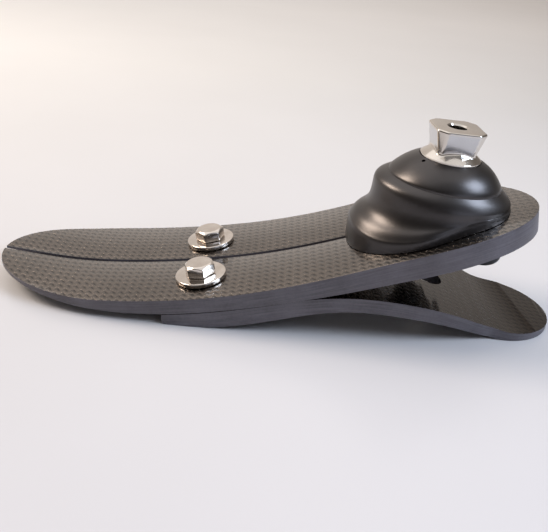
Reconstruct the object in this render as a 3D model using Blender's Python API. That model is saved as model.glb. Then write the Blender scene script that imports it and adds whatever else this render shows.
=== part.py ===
"""Energy-storing carbon fibre prosthetic foot with a male pyramid adapter.

Metres, +Z up. The toe points to -X, the heel to +X and the wearer's left side is -Y.
The origin is on the ground, in the middle of the foot's length and width.

The keel and the heel spring are curved laminated leaves. Each leaf is cut where it bends
most, along a cylinder round its hinge axis, so that it can bend there without touching.
"""

import math

import bmesh
import bpy
import numpy as np
from mathutils import Matrix, Vector

# Clearance between neighbouring pieces, and how far cutters reach past what they cut.
GAP = 0.0003
REACH = 0.060
BEYOND = 0.2
WELD = 1e-6

# The first section of a rounded leaf end stands this far round it, in radians.
END_ANGLE = 0.06

# Keel leaf: (x, height of the top face), (x, thickness) and (x, half width).
KEEL_TOP = (
    (-0.1428, 0.0113), (-0.1228, 0.0095), (-0.1028, 0.0082), (-0.0778, 0.0092),
    (-0.0478, 0.0129), (-0.0128, 0.0200), (0.0272, 0.0327), (0.0722, 0.0499), (0.1192, 0.0625),
)
KEEL_THICKNESS = (
    (-0.1428, 0.0009), (-0.1078, 0.0029), (-0.0628, 0.0066), (-0.0128, 0.0075),
    (0.0472, 0.0101), (0.1122, 0.0105),
)
KEEL_HALF_WIDTH = (
    (-0.1028, 0.0374), (-0.0728, 0.0390), (-0.0328, 0.0394), (0.0072, 0.0382),
    (0.0422, 0.0376), (0.0772, 0.0385),
)
KEEL_TIP = -0.1370
KEEL_TAIL = 0.1168
TOE_ROUND_LENGTH = 0.0591
TOE_ROUND_POWER = 2.2
TAIL_ROUND_LENGTH = 0.0594
TAIL_ROUND_POWER = 2.0
KEEL_STATIONS = 44
UNDERSIDE_STATIONS = 200
SLOT_WIDTH = 0.0024
SLOT_END = 0.044
SLOT_END_STEPS = 12

# Heel leaf: (x, height of the bottom face), (x, thickness) and (x, half width).
HEEL_SOLE = (
    (-0.0400, 0.0), (-0.0278, 0.0008), (-0.0028, 0.0061), (0.0272, 0.0135), (0.0572, 0.0134),
    (0.0822, 0.0081), (0.1132, 0.0),
)
HEEL_THICKNESS = (
    (-0.0548, 0.0050), (-0.0128, 0.0086), (0.0272, 0.0073), (0.0672, 0.0069), (0.1222, 0.0037),
)
HEEL_HALF_WIDTH = (
    (-0.0548, 0.0395), (-0.0228, 0.0392), (0.0072, 0.0379), (0.0422, 0.0369),
    (0.0722, 0.0343), (0.1022, 0.0262),
)
HEEL_FRONT = -0.0513
HEEL_TIP = 0.1370
HEEL_ROUND_LENGTH = 0.0268
HEEL_ROUND_POWER = 2.0
HEEL_STATIONS = 40
ACCESS_HOLE_X = 0.0734
ACCESS_HOLE_RADIUS = 0.008

# Bending lines: x of each hinge axis and the radius of the cut round it.
TOE_HINGE_X = -0.067
KEEL_HINGE_X = 0.015
HEEL_HINGE_X = 0.017
TOE_CUT_RADIUS = 0.009
KEEL_CUT_RADIUS = 0.010
HEEL_CUT_RADIUS = 0.008
BEND_ARC_STEPS = 24

# Forefoot bolts: M8 hexagon heads on large washers, into threaded inserts from below.
BOLT_X = -0.0362
BOLT_Y = 0.0190
BOLT_RADIUS = 0.004
BOLT_FLATS = 0.013
BOLT_HEAD_HEIGHT = 0.0053
BOLT_REACH = 0.0130
BOLT_TURNS = {"left": 20.0, "right": 47.0}
CROWN_TOP = 0.46
CROWN_OUTSIDE = 0.60
CROWN_START = 0.82
WASHER_RADIUS = 0.012
WASHER_THICKNESS = 0.002
WASHER_SEAT = 0.0005
INSERT_RADIUS = 0.006
INSERT_FLANGE_RADIUS = 0.0078
INSERT_FLANGE_THICKNESS = 0.0015
INSERT_LENGTH = 0.0050

# Ankle housing sections: x and z of the front point, x and z of the rear point, half width, and
# how much a section swings: its sides dip in front of HOUSING_SWING_FROM and rise behind it.
HOUSING_SECTIONS = (
    (0.0308, 0.0260, 0.1050, 0.0440, 0.0323, 0.0),
    (0.0308, 0.0425, 0.1050, 0.0540, 0.0325, 0.0120),
    (0.0314, 0.0466, 0.1048, 0.0565, 0.0320, 0.0140),
    (0.0334, 0.0495, 0.1046, 0.0576, 0.0310, 0.0120),
    (0.0362, 0.0519, 0.1044, 0.0585, 0.0299, 0.0090),
    (0.0384, 0.0547, 0.1041, 0.0593, 0.0290, 0.0050),
    (0.0394, 0.0586, 0.1039, 0.0602, 0.0284, 0.0010),
    (0.0397, 0.0636, 0.1038, 0.0612, 0.0279, 0.0),
    (0.0403, 0.0672, 0.1028, 0.0629, 0.0269, 0.0),
    (0.0428, 0.0692, 0.1010, 0.0647, 0.0257, 0.0),
    (0.0460, 0.0703, 0.0982, 0.0669, 0.0243, 0.0),
    (0.0468, 0.0717, 0.0972, 0.0694, 0.0241, 0.0),
    (0.0504, 0.0749, 0.0938, 0.0737, 0.0214, 0.0),
    (0.0546, 0.0778, 0.0900, 0.0767, 0.0175, 0.0),
    (0.0588, 0.0797, 0.0862, 0.0787, 0.0137, 0.0),
)
HOUSING_SWING_FROM = 0.4
HOUSING_RING_HALF_WIDTH = 0.0279
HOUSING_PINCH_FROM = 0.35
HOUSING_PINCH_TO = 0.75
HOUSING_BASE_POWER = 2.3
HOUSING_ROUND_FROM = 6
HOUSING_SEGMENTS = 56
HOUSING_BED_FRONT = 0.020
HOUSING_BED_STATIONS = 30

# Male pyramid: its axis leans back a little, and depths are measured down from its top face.
PYRAMID_TOP = (0.0731, 0.0, 0.0930)
PYRAMID_LEAN = math.radians(2.3)
PYRAMID_TURN = math.radians(5.0)
PYRAMID_TAPER = math.radians(15.0)
PYRAMID_SHOULDER_DEPTH = 0.0012
PYRAMID_SHOULDER_HALF = 0.01135
PYRAMID_HEIGHT = 0.0115
CORNER_SHOULDER_RADIUS = 0.0133
CORNER_FOOT_RADIUS = 0.0110
NECK_RADIUS = 0.0094
NECK_DEPTH = 0.0100
FLARE_RADIUS = 0.0138
FLARE_DEPTH = 0.0143
FLARE_LIP = 0.0004
SPIGOT_RADIUS = 0.0110
SPIGOT_DEPTH = 0.0245
BORE_STEP = 0.0020
PYRAMID_BORE_RADIUS = 0.0042

# Centre bolt: M10 with a low head, up through the keel and the housing into the spigot.
CENTRE_BOLT_RADIUS = 0.005
CENTRE_BOLT_TOP_DEPTH = 0.0135
CENTRE_HEAD_RADIUS = 0.008
CENTRE_HEAD_HEIGHT = 0.006
CENTRE_SOCKET_RADIUS = 0.004
CENTRE_SOCKET_DEPTH = 0.0035
HEAD_CHAMFER = 0.0008
CENTRE_SEAT_HEIGHT = 0.0332
TAPER_WASHER_RADIUS = 0.0095
TAPER_FACE_FROM = 0.040
TAPER_FACE_TO = 0.100
TAPER_FACE_STATIONS = 25

# Rear screws: M6 flanged button heads on plain washers, square to the keel, up into the housing.
REAR_SCREW_X = 0.0890
REAR_SCREW_Y = 0.0190
REAR_SCREW_RADIUS = 0.003
REAR_HEAD_RADIUS = 0.0070
REAR_HEAD_HEIGHT = 0.0044
REAR_HEAD_EDGE = 0.0008
REAR_HEAD_FLAT_RADIUS = 0.0042
REAR_HEAD_STEPS = 6
REAR_SOCKET_RADIUS = 0.0023
REAR_SOCKET_DEPTH = 0.0023
REAR_WASHER_RADIUS = 0.008
REAR_WASHER_THICKNESS = 0.0014
REAR_WASHER_SEAT = 0.0011
REAR_SCREW_REACH = 0.0070

# Grub screw that locks the spigot, square to the front left of the housing's dome.
GRUB_MOUTH = (0.0593, -0.0083, 0.0782)
GRUB_TURN = math.radians(211.4)
GRUB_LEAN = math.radians(36.0)
GRUB_RADIUS = 0.0008
GRUB_RECESS = 0.0008
GRUB_LENGTH = 0.0045
GRUB_SEGMENTS = 12

ROUND_SEGMENTS = 32

MATERIALS = {
    # name: colour, metallic, roughness
    "carbon": ((0.095, 0.085, 0.078), 0.0, 0.28),
    "nickel": ((0.78, 0.76, 0.73), 1.0, 0.18),
    "black_anodised": ((0.028, 0.028, 0.031), 0.25, 0.42),
    "polished_steel": ((0.82, 0.81, 0.79), 1.0, 0.08),
    "black_steel": ((0.020, 0.020, 0.022), 0.60, 0.35),
    "insert_steel": ((0.45, 0.44, 0.42), 1.0, 0.35),
}


# Curves through a few points

def spline(points, start_slope=None, end_slope=None):
    """A cubic spline through (x, value) points: natural at an end with no slope given."""
    xs, ys = np.array(points).T
    count = len(xs)
    step = np.diff(xs)
    matrix = np.zeros((count, count))
    right = np.zeros(count)
    for i in range(1, count - 1):
        matrix[i, i - 1:i + 2] = step[i - 1], 2 * (step[i - 1] + step[i]), step[i]
        right[i] = 6 * ((ys[i + 1] - ys[i]) / step[i] - (ys[i] - ys[i - 1]) / step[i - 1])
    matrix[0, 0] = matrix[-1, -1] = 1
    if start_slope is not None:
        matrix[0, :2] = 2 * step[0], step[0]
        right[0] = 6 * ((ys[1] - ys[0]) / step[0] - start_slope)
    if end_slope is not None:
        matrix[-1, -2:] = step[-1], 2 * step[-1]
        right[-1] = 6 * (end_slope - (ys[-1] - ys[-2]) / step[-1])
    bend = np.linalg.solve(matrix, right)

    def value(x):
        x = min(max(x, xs[0]), xs[-1])
        i = min(int(np.searchsorted(xs, x, side="right")) - 1, count - 2)
        a = (xs[i + 1] - x) / step[i]
        b = 1 - a
        curve = ((a ** 3 - a) * bend[i] + (b ** 3 - b) * bend[i + 1]) * step[i] ** 2 / 6
        return float(a * ys[i] + b * ys[i + 1] + curve)

    return value


keel_top = spline(KEEL_TOP)
keel_thickness = spline(KEEL_THICKNESS)
keel_half_width = spline(KEEL_HALF_WIDTH)
heel_sole = spline(HEEL_SOLE, start_slope=0, end_slope=0)
heel_thickness = spline(HEEL_THICKNESS)
heel_half_width = spline(HEEL_HALF_WIDTH)


def rounded_end(distance, length, power):
    """How wide a leaf is at this distance from its rounded end, as a share of its full width."""
    return (1 - (1 - min(max(distance / length, 0), 1)) ** power) ** 0.5


def slope_of(height, x, step=0.0005):
    """The angle at which a height rises along X."""
    return math.atan2(height(x + step) - height(x - step), 2 * step)


def keel_surface(x):
    """The point on the keel's top face at x, and the face's slope there."""
    return Vector((x, 0, keel_top(x))), slope_of(keel_top, x)


def normal_of(slope):
    return Vector((-math.sin(slope), 0, math.cos(slope)))


def keel_section(x):
    top, slope = keel_surface(x)
    bottom = top - normal_of(slope) * keel_thickness(x)
    width = keel_half_width(x)
    width *= rounded_end(x - KEEL_TIP, TOE_ROUND_LENGTH, TOE_ROUND_POWER)
    width *= rounded_end(KEEL_TAIL - x, TAIL_ROUND_LENGTH, TAIL_ROUND_POWER)
    return top, bottom, width


KEEL_UNDERSIDE = [
    keel_section(x)[1] for x in np.linspace(KEEL_TIP, KEEL_TAIL, UNDERSIDE_STATIONS)
]


def keel_underside(x):
    return float(np.interp(x, [p.x for p in KEEL_UNDERSIDE], [p.z for p in KEEL_UNDERSIDE]))


def heel_section(x):
    """The heel leaf's top point is held clear of the keel, which it seats against in front."""
    slope = slope_of(heel_sole, x)
    bottom = Vector((x, 0, heel_sole(x)))
    top = bottom + normal_of(slope) * heel_thickness(x)
    limit = keel_underside(top.x) - GAP / math.cos(slope_of(keel_underside, top.x))
    top.z = min(top.z, limit)
    width = heel_half_width(x) * rounded_end(HEEL_TIP - x, HEEL_ROUND_LENGTH, HEEL_ROUND_POWER)
    return top, bottom, width


def stations(start, end, count, round_start):
    """Places along a leaf, closer together towards a rounded end."""
    if round_start:
        share = (1 - np.cos(np.linspace(END_ANGLE, np.pi - END_ANGLE, count))) / 2
    else:
        share = np.sin(np.linspace(0, np.pi / 2 - END_ANGLE, count))
    return start + (end - start) * share


# Meshes and objects

def finish_mesh(bm, name):
    bmesh.ops.recalc_face_normals(bm, faces=bm.faces)
    mesh = bpy.data.meshes.new(name)
    bm.to_mesh(mesh)
    bm.free()
    mesh.shade_smooth()
    mesh.set_sharp_from_angle(angle=math.radians(30))
    return mesh


def loft(rings):
    """A closed solid through rings of points, each with as many points as the last."""
    bm = bmesh.new()
    loops = [[bm.verts.new(point) for point in ring] for ring in rings]
    for lower, upper in zip(loops, loops[1:]):
        for i, vert in enumerate(lower):
            before = i - 1
            bm.faces.new((lower[before], vert, upper[i], upper[before]))
    bm.faces.new(loops[0])
    bm.faces.new(loops[-1])
    return bm


def leaf(section, places):
    rings = []
    for x in places:
        top, bottom, width = section(x)
        side = Vector((0, width, 0))
        rings.append((top - side, top + side, bottom + side, bottom - side))
    return loft(rings)


def prism(outline, y_from, y_to):
    """A solid with this (x, z) outline between two values of y."""
    bm = bmesh.new()
    face = bm.faces.new([bm.verts.new((x, y_from, z)) for x, z in outline])
    grown = bmesh.ops.extrude_face_region(bm, geom=[face])["geom"]
    moved = [item for item in grown if isinstance(item, bmesh.types.BMVert)]
    bmesh.ops.translate(bm, verts=moved, vec=(0, y_to - y_from, 0))
    return bm


def cylinder(radius, z_from, z_to, segments=ROUND_SEGMENTS, top_radius=None):
    bm = bmesh.new()
    bmesh.ops.create_cone(
        bm, cap_ends=True, segments=segments, radius1=radius,
        radius2=radius if top_radius is None else top_radius, depth=z_to - z_from,
        matrix=Matrix.Translation((0, 0, (z_from + z_to) / 2)),
    )
    return bm


def turned(profile, segments=ROUND_SEGMENTS):
    """A solid turned about Z from (radius, z) points, closed to the axis at both ends."""
    bm = bmesh.new()
    points = [(0, profile[0][1]), *profile, (0, profile[-1][1])]
    verts = [bm.verts.new((radius, 0, z)) for radius, z in points]
    edges = [bm.edges.new(pair) for pair in zip(verts, verts[1:])]
    bmesh.ops.spin(
        bm, geom=verts + edges, cent=(0, 0, 0), axis=(0, 0, 1), angle=2 * math.pi, steps=segments,
    )
    bmesh.ops.remove_doubles(bm, verts=bm.verts, dist=WELD)
    return bm


def new_collection(name):
    collection = bpy.data.collections.new(name)
    bpy.context.scene.collection.children.link(collection)
    return collection


def new_material(name, colour, metallic, roughness):
    material = bpy.data.materials.new(name)
    material.use_nodes = True
    shader = material.node_tree.nodes["Principled BSDF"]
    shader.inputs["Base Color"].default_value = (*colour, 1)
    shader.inputs["Metallic"].default_value = metallic
    shader.inputs["Roughness"].default_value = roughness
    material.diffuse_color = (*colour, 1)
    return material


for old in list(bpy.data.objects):
    bpy.data.objects.remove(old, do_unlink=True)

foot = new_collection("prosthetic_foot")
cutters = new_collection("cutters")
materials = {name: new_material(name, *values) for name, values in MATERIALS.items()}


def add_part(name, bm, material, parent=None, frame=None):
    """A visible piece. Its mesh is in the coordinates of frame, a matrix, or of the world."""
    part = bpy.data.objects.new(name, finish_mesh(bm, name))
    part.data.materials.append(materials[material])
    foot.objects.link(part)
    world = frame or Matrix.Identity(4)
    part.parent = parent
    part.matrix_basis = (parent.matrix_basis.inverted() if parent else Matrix()) @ world
    return part


def add_cutter(name, bm, frame=None):
    cutter = bpy.data.objects.new(name, finish_mesh(bm, name))
    cutters.objects.link(cutter)
    cutter.matrix_basis = frame or Matrix.Identity(4)
    cutter.hide_render = True
    cutter.display_type = "WIRE"
    return cutter


def boolean(part, operation, *others):
    for other in others:
        modifier = part.modifiers.new(f"{operation.lower()} {other.name}", "BOOLEAN")
        modifier.operation = operation
        modifier.object = other


def hinge_empty(name, axis_point):
    """The pivot of a moving body. Its Y axis is the hinge axis."""
    pivot = bpy.data.objects.new(name, None)
    foot.objects.link(pivot)
    pivot.empty_display_size = 0.01
    pivot.matrix_basis = Matrix.Translation(axis_point)
    return pivot


def surface_frame(x, y):
    """A frame on the keel's top face, with its Z axis square to the face."""
    point, slope = keel_surface(x)
    return Matrix.Translation(point + Vector((0, y, 0))) @ Matrix.Rotation(-slope, 4, "Y")


# Bending lines

def middle_of(section, x):
    """The point halfway through a leaf's thickness, straight above or below x."""
    top, bottom, _ = section(x)
    middle = (top + bottom) / 2
    return Vector((middle.x, 0, middle.z))


toe_axis = middle_of(keel_section, TOE_HINGE_X)
keel_axis = middle_of(keel_section, KEEL_HINGE_X)
heel_axis = middle_of(heel_section, HEEL_HINGE_X)


def bending_cut(axis, radius, bulge):
    """The (x, z) line that parts a leaf: an arc round axis that bulges towards +X or -X."""
    angles = np.linspace(-math.pi / 2, math.pi / 2, BEND_ARC_STEPS + 1)
    arc = [(axis.x + bulge * radius * math.cos(a), axis.z + radius * math.sin(a)) for a in angles]
    return [(axis.x, axis.z - REACH), *arc, (axis.x, axis.z + REACH)]


def straight_cut(x):
    return [(x, -REACH), (x, 2 * REACH)]


def region(name, left_line, right_line, y_from=-REACH, y_to=REACH):
    """A cutter that keeps what lies between two lines, each given from the bottom up."""
    return add_cutter(name, prism([*left_line, *reversed(right_line)], y_from, y_to))


SIDES = {"left": -1, "right": 1}


def side_span(side):
    """The y limits of one half of the keel, on its side of the slot."""
    return sorted((side * SLOT_WIDTH / 2, side * REACH))


# Keel and toes

toe_line = bending_cut(toe_axis, TOE_CUT_RADIUS, 1)
toe_socket_line = bending_cut(toe_axis, TOE_CUT_RADIUS + GAP, 1)
keel_line = bending_cut(keel_axis, KEEL_CUT_RADIUS, 1)
keel_socket_line = bending_cut(keel_axis, KEEL_CUT_RADIUS + GAP, 1)

forefoot_pivot = hinge_empty("forefoot_pivot", keel_axis)
keel_places = stations(KEEL_TIP, KEEL_TAIL, KEEL_STATIONS, True)

bolt_frames = {name: surface_frame(BOLT_X, side * BOLT_Y) for name, side in SIDES.items()}
bolt_holes = {
    name: add_cutter(f"bolt_hole_{name}", cylinder(BOLT_RADIUS + GAP, -REACH, REACH), frame)
    for name, frame in bolt_frames.items()
}

for name, side in SIDES.items():
    span = side_span(side)
    toe_pivot = hinge_empty(f"toe_{name}_pivot", toe_axis)
    toe = add_part(f"toe_{name}", leaf(keel_section, keel_places), "carbon", toe_pivot)
    toe_region = region(f"toe_{name}_region", straight_cut(-BEYOND), toe_line, *span)
    boolean(toe, "INTERSECT", toe_region)
    middle = leaf(keel_section, keel_places)
    middle = add_part(f"keel_middle_{name}", middle, "carbon", forefoot_pivot)
    middle_region = region(f"keel_middle_{name}_region", toe_socket_line, keel_line, *span)
    boolean(middle, "INTERSECT", middle_region)
    boolean(middle, "DIFFERENCE", bolt_holes[name])

keel_rear = add_part("keel_rear", leaf(keel_section, keel_places), "carbon")
keel_rear_region = region("keel_rear_region", keel_socket_line, straight_cut(BEYOND))
boolean(keel_rear, "INTERSECT", keel_rear_region)


def slot_outline():
    """The slot's plan, open towards the toe and round at its end."""
    radius = SLOT_WIDTH / 2
    angles = np.linspace(-math.pi / 2, math.pi / 2, SLOT_END_STEPS + 1)
    end = [(SLOT_END + radius * math.cos(a), radius * math.sin(a)) for a in angles]
    return [(keel_axis.x, -radius), *end, (keel_axis.x, radius)]


slot = prism(slot_outline(), -REACH, REACH)
upright = Matrix.Rotation(math.pi / 2, 3, "X")
bmesh.ops.rotate(slot, cent=(0, 0, 0), matrix=upright, verts=slot.verts)
boolean(keel_rear, "DIFFERENCE", add_cutter("slot", slot))


# Heel leaf

heel_line = bending_cut(heel_axis, HEEL_CUT_RADIUS, -1)
heel_socket_line = bending_cut(heel_axis, HEEL_CUT_RADIUS + GAP, -1)
heel_places = stations(HEEL_FRONT, HEEL_TIP, HEEL_STATIONS, False)

heel_clamp = add_part("heel_clamp", leaf(heel_section, heel_places), "carbon", forefoot_pivot)
heel_clamp_region = region("heel_clamp_region", straight_cut(-BEYOND), heel_socket_line)
boolean(heel_clamp, "INTERSECT", heel_clamp_region)
heel_pivot = hinge_empty("heel_pivot", heel_axis)
heel_blade = add_part("heel_blade", leaf(heel_section, heel_places), "carbon", heel_pivot)
heel_blade_region = region("heel_blade_region", heel_line, straight_cut(BEYOND))
boolean(heel_blade, "INTERSECT", heel_blade_region)
access_frame = Matrix.Translation((ACCESS_HOLE_X, 0, heel_sole(ACCESS_HOLE_X)))
access_hole = cylinder(ACCESS_HOLE_RADIUS, -REACH / 2, REACH / 2)
boolean(heel_blade, "DIFFERENCE", add_cutter("access_hole", access_hole, access_frame))


# Forefoot bolts, washers and inserts

def head_crown(z_from):
    """A cutter that turns off a hexagon head's top corners."""
    outside = BOLT_FLATS * CROWN_OUTSIDE
    return turned((
        (BOLT_FLATS * CROWN_TOP, z_from + BOLT_HEAD_HEIGHT),
        (outside, z_from + BOLT_HEAD_HEIGHT * CROWN_START), (outside, z_from - BOLT_HEAD_HEIGHT),
    ))


def depth_below(frame, height):
    """How far a frame's Z axis runs down from its origin to reach this height."""
    axis = frame.to_3x3() @ Vector((0, 0, 1))
    return (frame.translation.z - height) / axis.z


for name, frame in bolt_frames.items():
    washer_top = WASHER_SEAT + WASHER_THICKNESS
    washer = cylinder(WASHER_RADIUS, WASHER_SEAT, washer_top)
    washer = add_part(f"washer_{name}", washer, "nickel", forefoot_pivot, frame)
    boolean(washer, "DIFFERENCE", bolt_holes[name])

    under_head = washer_top + GAP
    turn = Matrix.Rotation(math.radians(BOLT_TURNS[name]), 4, "Z")
    head = cylinder(
        BOLT_FLATS / math.sqrt(3), under_head, under_head + BOLT_HEAD_HEIGHT, segments=6,
    )
    bolt = add_part(f"bolt_{name}", head, "nickel", forefoot_pivot, frame @ turn)
    shank = cylinder(BOLT_RADIUS, -BOLT_REACH, under_head + BOLT_HEAD_HEIGHT / 2)
    shank = add_cutter(f"shank_{name}", shank, frame)
    boolean(bolt, "INTERSECT", add_cutter(f"head_crown_{name}", head_crown(under_head), frame))
    boolean(bolt, "UNION", shank)

    lean = keel_surface(BOLT_X)[1]
    foot_depth = INSERT_FLANGE_RADIUS * math.tan(lean) - depth_below(frame, GAP)
    flange_top = foot_depth + INSERT_FLANGE_THICKNESS
    insert_top = foot_depth + INSERT_LENGTH
    insert = add_part(
        f"threaded_insert_{name}",
        turned((
            (INSERT_RADIUS, insert_top), (INSERT_RADIUS, flange_top),
            (INSERT_FLANGE_RADIUS, flange_top), (INSERT_FLANGE_RADIUS, foot_depth),
        )),
        "insert_steel", forefoot_pivot, frame,
    )
    boolean(insert, "DIFFERENCE", bolt_holes[name])
    pocket = turned((
        (INSERT_RADIUS + GAP, insert_top + GAP), (INSERT_RADIUS + GAP, flange_top + GAP),
        (INSERT_FLANGE_RADIUS + GAP, flange_top + GAP), (INSERT_FLANGE_RADIUS + GAP, -REACH),
    ))
    boolean(heel_clamp, "DIFFERENCE", add_cutter(f"insert_pocket_{name}", pocket, frame))
    boolean(heel_clamp, "DIFFERENCE", bolt_holes[name])


# Ankle housing

def housing_ring(index):
    """One section of the housing: a rounded oblong low down and an oval higher up. Towards the
    rear, no section is wider than the ring."""
    front_x, front_z, rear_x, rear_z, half_width, swing = HOUSING_SECTIONS[index]
    blend = min(index / HOUSING_ROUND_FROM, 1)
    power = 2 / (HOUSING_BASE_POWER + (2 - HOUSING_BASE_POWER) * blend)
    ring = []
    for i in range(HOUSING_SEGMENTS):
        turn = 2 * math.pi * i / HOUSING_SEGMENTS
        along = math.copysign(abs(math.cos(turn)) ** power, math.cos(turn))
        across = math.copysign(abs(math.sin(turn)) ** power, math.sin(turn))
        share = (1 + along) / 2
        x = front_x + (rear_x - front_x) * share
        z = front_z + (rear_z - front_z) * share + swing * across ** 2 * (share - HOUSING_SWING_FROM)
        rear = (share - HOUSING_PINCH_FROM) / (HOUSING_PINCH_TO - HOUSING_PINCH_FROM)
        rear = min(max(rear, 0), 1)
        pinch = min(HOUSING_RING_HALF_WIDTH - half_width, 0) * rear ** 2 * (3 - 2 * rear)
        ring.append((x, (half_width + pinch) * across, z))
    return ring


def keel_bed():
    """A cutter that follows the keel's top face, a gap above it."""
    line = []
    for x in np.linspace(HOUSING_BED_FRONT, KEEL_TAIL, HOUSING_BED_STATIONS):
        point, slope = keel_surface(x)
        point += normal_of(slope) * GAP
        line.append((point.x, point.z))
    return prism([(line[0][0], -REACH), *line, (line[-1][0], -REACH)], -REACH, REACH)


pyramid_frame = (
    Matrix.Translation(PYRAMID_TOP) @ Matrix.Rotation(PYRAMID_LEAN, 4, "Y")
    @ Matrix.Rotation(PYRAMID_TURN, 4, "Z")
)

housing_rings = [housing_ring(i) for i in range(len(HOUSING_SECTIONS))]
housing = add_part("ankle_housing", loft(housing_rings), "black_anodised")
flare_seat = -FLARE_DEPTH
spigot_bore = turned((
    (FLARE_RADIUS + GAP, 0), (FLARE_RADIUS + GAP, flare_seat - GAP),
    (SPIGOT_RADIUS + GAP, flare_seat - GAP), (SPIGOT_RADIUS + GAP, -SPIGOT_DEPTH - GAP),
))
centre_hole = cylinder(CENTRE_BOLT_RADIUS + GAP, -PYRAMID_TOP[2], BORE_STEP - SPIGOT_DEPTH)
centre_hole = add_cutter("centre_hole", centre_hole, pyramid_frame)
boolean(
    housing, "DIFFERENCE", add_cutter("keel_bed", keel_bed()),
    add_cutter("spigot_bore", spigot_bore, pyramid_frame), centre_hole,
)
boolean(keel_rear, "DIFFERENCE", centre_hole)


# Pyramid adapter

def square_frustum(bottom_half, top_half, depth_from, depth_to):
    """A square block about Z, tapered between two depths below the origin."""
    frustum = cylinder(
        bottom_half * math.sqrt(2), -depth_from, -depth_to, segments=4,
        top_radius=top_half * math.sqrt(2),
    )
    turn = Matrix.Rotation(math.pi / 4, 3, "Z")
    bmesh.ops.rotate(frustum, cent=(0, 0, 0), matrix=turn, verts=frustum.verts)
    return frustum


def flank_half(depth):
    """Half the width across the flats at this depth below the top face."""
    return PYRAMID_SHOULDER_HALF - (depth - PYRAMID_SHOULDER_DEPTH) * math.tan(PYRAMID_TAPER)


pyramid_head = square_frustum(flank_half(PYRAMID_HEIGHT), flank_half(0), PYRAMID_HEIGHT, 0)
pyramid = add_part("pyramid_adapter", pyramid_head, "polished_steel", None, pyramid_frame)
shoulder = square_frustum(
    PYRAMID_SHOULDER_HALF + PYRAMID_HEIGHT - PYRAMID_SHOULDER_DEPTH,
    PYRAMID_SHOULDER_HALF - PYRAMID_SHOULDER_DEPTH, PYRAMID_HEIGHT, 0,
)
corner_cone = turned((
    (CORNER_SHOULDER_RADIUS - PYRAMID_SHOULDER_DEPTH, 0),
    (CORNER_SHOULDER_RADIUS, -PYRAMID_SHOULDER_DEPTH),
    (CORNER_FOOT_RADIUS, -PYRAMID_HEIGHT), (CORNER_FOOT_RADIUS, -PYRAMID_HEIGHT - BORE_STEP),
))
flare = turned((
    (NECK_RADIUS - BORE_STEP, BORE_STEP - NECK_DEPTH), (NECK_RADIUS, -NECK_DEPTH),
    (FLARE_RADIUS - FLARE_LIP, flare_seat + 2 * FLARE_LIP), (FLARE_RADIUS, flare_seat + FLARE_LIP),
    (FLARE_RADIUS, flare_seat), (SPIGOT_RADIUS, flare_seat), (SPIGOT_RADIUS, -SPIGOT_DEPTH),
))
boolean(
    pyramid, "INTERSECT", add_cutter("pyramid_shoulder", shoulder, pyramid_frame),
    add_cutter("corner_cone", corner_cone, pyramid_frame),
)
boolean(pyramid, "UNION", add_cutter("flare", flare, pyramid_frame))
boolean(
    pyramid, "DIFFERENCE",
    add_cutter("pyramid_bore", cylinder(PYRAMID_BORE_RADIUS, -REACH, REACH), pyramid_frame),
    add_cutter(
        "thread_bore",
        cylinder(CENTRE_BOLT_RADIUS + GAP, -REACH, GAP - CENTRE_BOLT_TOP_DEPTH), pyramid_frame,
    ),
)


# Centre bolt and its taper washer

seat_depth = -depth_below(pyramid_frame, CENTRE_SEAT_HEIGHT)
centre_bolt = add_part(
    "centre_bolt",
    turned((
        (CENTRE_BOLT_RADIUS, -CENTRE_BOLT_TOP_DEPTH), (CENTRE_BOLT_RADIUS, seat_depth - GAP),
        (CENTRE_HEAD_RADIUS, seat_depth - GAP),
        (CENTRE_HEAD_RADIUS, seat_depth - CENTRE_HEAD_HEIGHT + HEAD_CHAMFER),
        (CENTRE_HEAD_RADIUS - HEAD_CHAMFER, seat_depth - CENTRE_HEAD_HEIGHT),
    )),
    "black_steel", None, pyramid_frame,
)
hex_socket = cylinder(
    CENTRE_SOCKET_RADIUS, seat_depth - 2 * CENTRE_HEAD_HEIGHT,
    seat_depth - CENTRE_HEAD_HEIGHT + CENTRE_SOCKET_DEPTH, segments=6,
)
boolean(centre_bolt, "DIFFERENCE", add_cutter("centre_socket", hex_socket, pyramid_frame))

taper_washer = cylinder(TAPER_WASHER_RADIUS, seat_depth, -SPIGOT_DEPTH)
taper_washer = add_part("taper_washer", taper_washer, "black_steel", None, pyramid_frame)


def above_keel_underside():
    """A cutter for everything above a line a gap below the keel's lower face."""
    line = []
    for x in np.linspace(TAPER_FACE_FROM, TAPER_FACE_TO, TAPER_FACE_STATIONS):
        top, slope = keel_surface(x)
        point = top - normal_of(slope) * (keel_thickness(x) + GAP)
        line.append((point.x, point.z))
    return prism([(line[0][0], 2 * REACH), *line, (line[-1][0], 2 * REACH)], -REACH, REACH)


boolean(
    taper_washer, "DIFFERENCE", add_cutter("keel_underside", above_keel_underside()), centre_hole,
)


# Rear screws and washers

def button_head(top):
    """The profile of a button head from its edge down: a short wall and a quarter oval."""
    rise = REAR_HEAD_HEIGHT - REAR_HEAD_EDGE
    spread = REAR_HEAD_RADIUS - REAR_HEAD_FLAT_RADIUS
    angles = np.linspace(0, math.pi / 2, REAR_HEAD_STEPS + 1)
    dome = [
        (REAR_HEAD_FLAT_RADIUS + spread * math.cos(a), top - REAR_HEAD_EDGE - rise * math.sin(a))
        for a in angles
    ]
    return [(REAR_HEAD_RADIUS, top), *dome]


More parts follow.
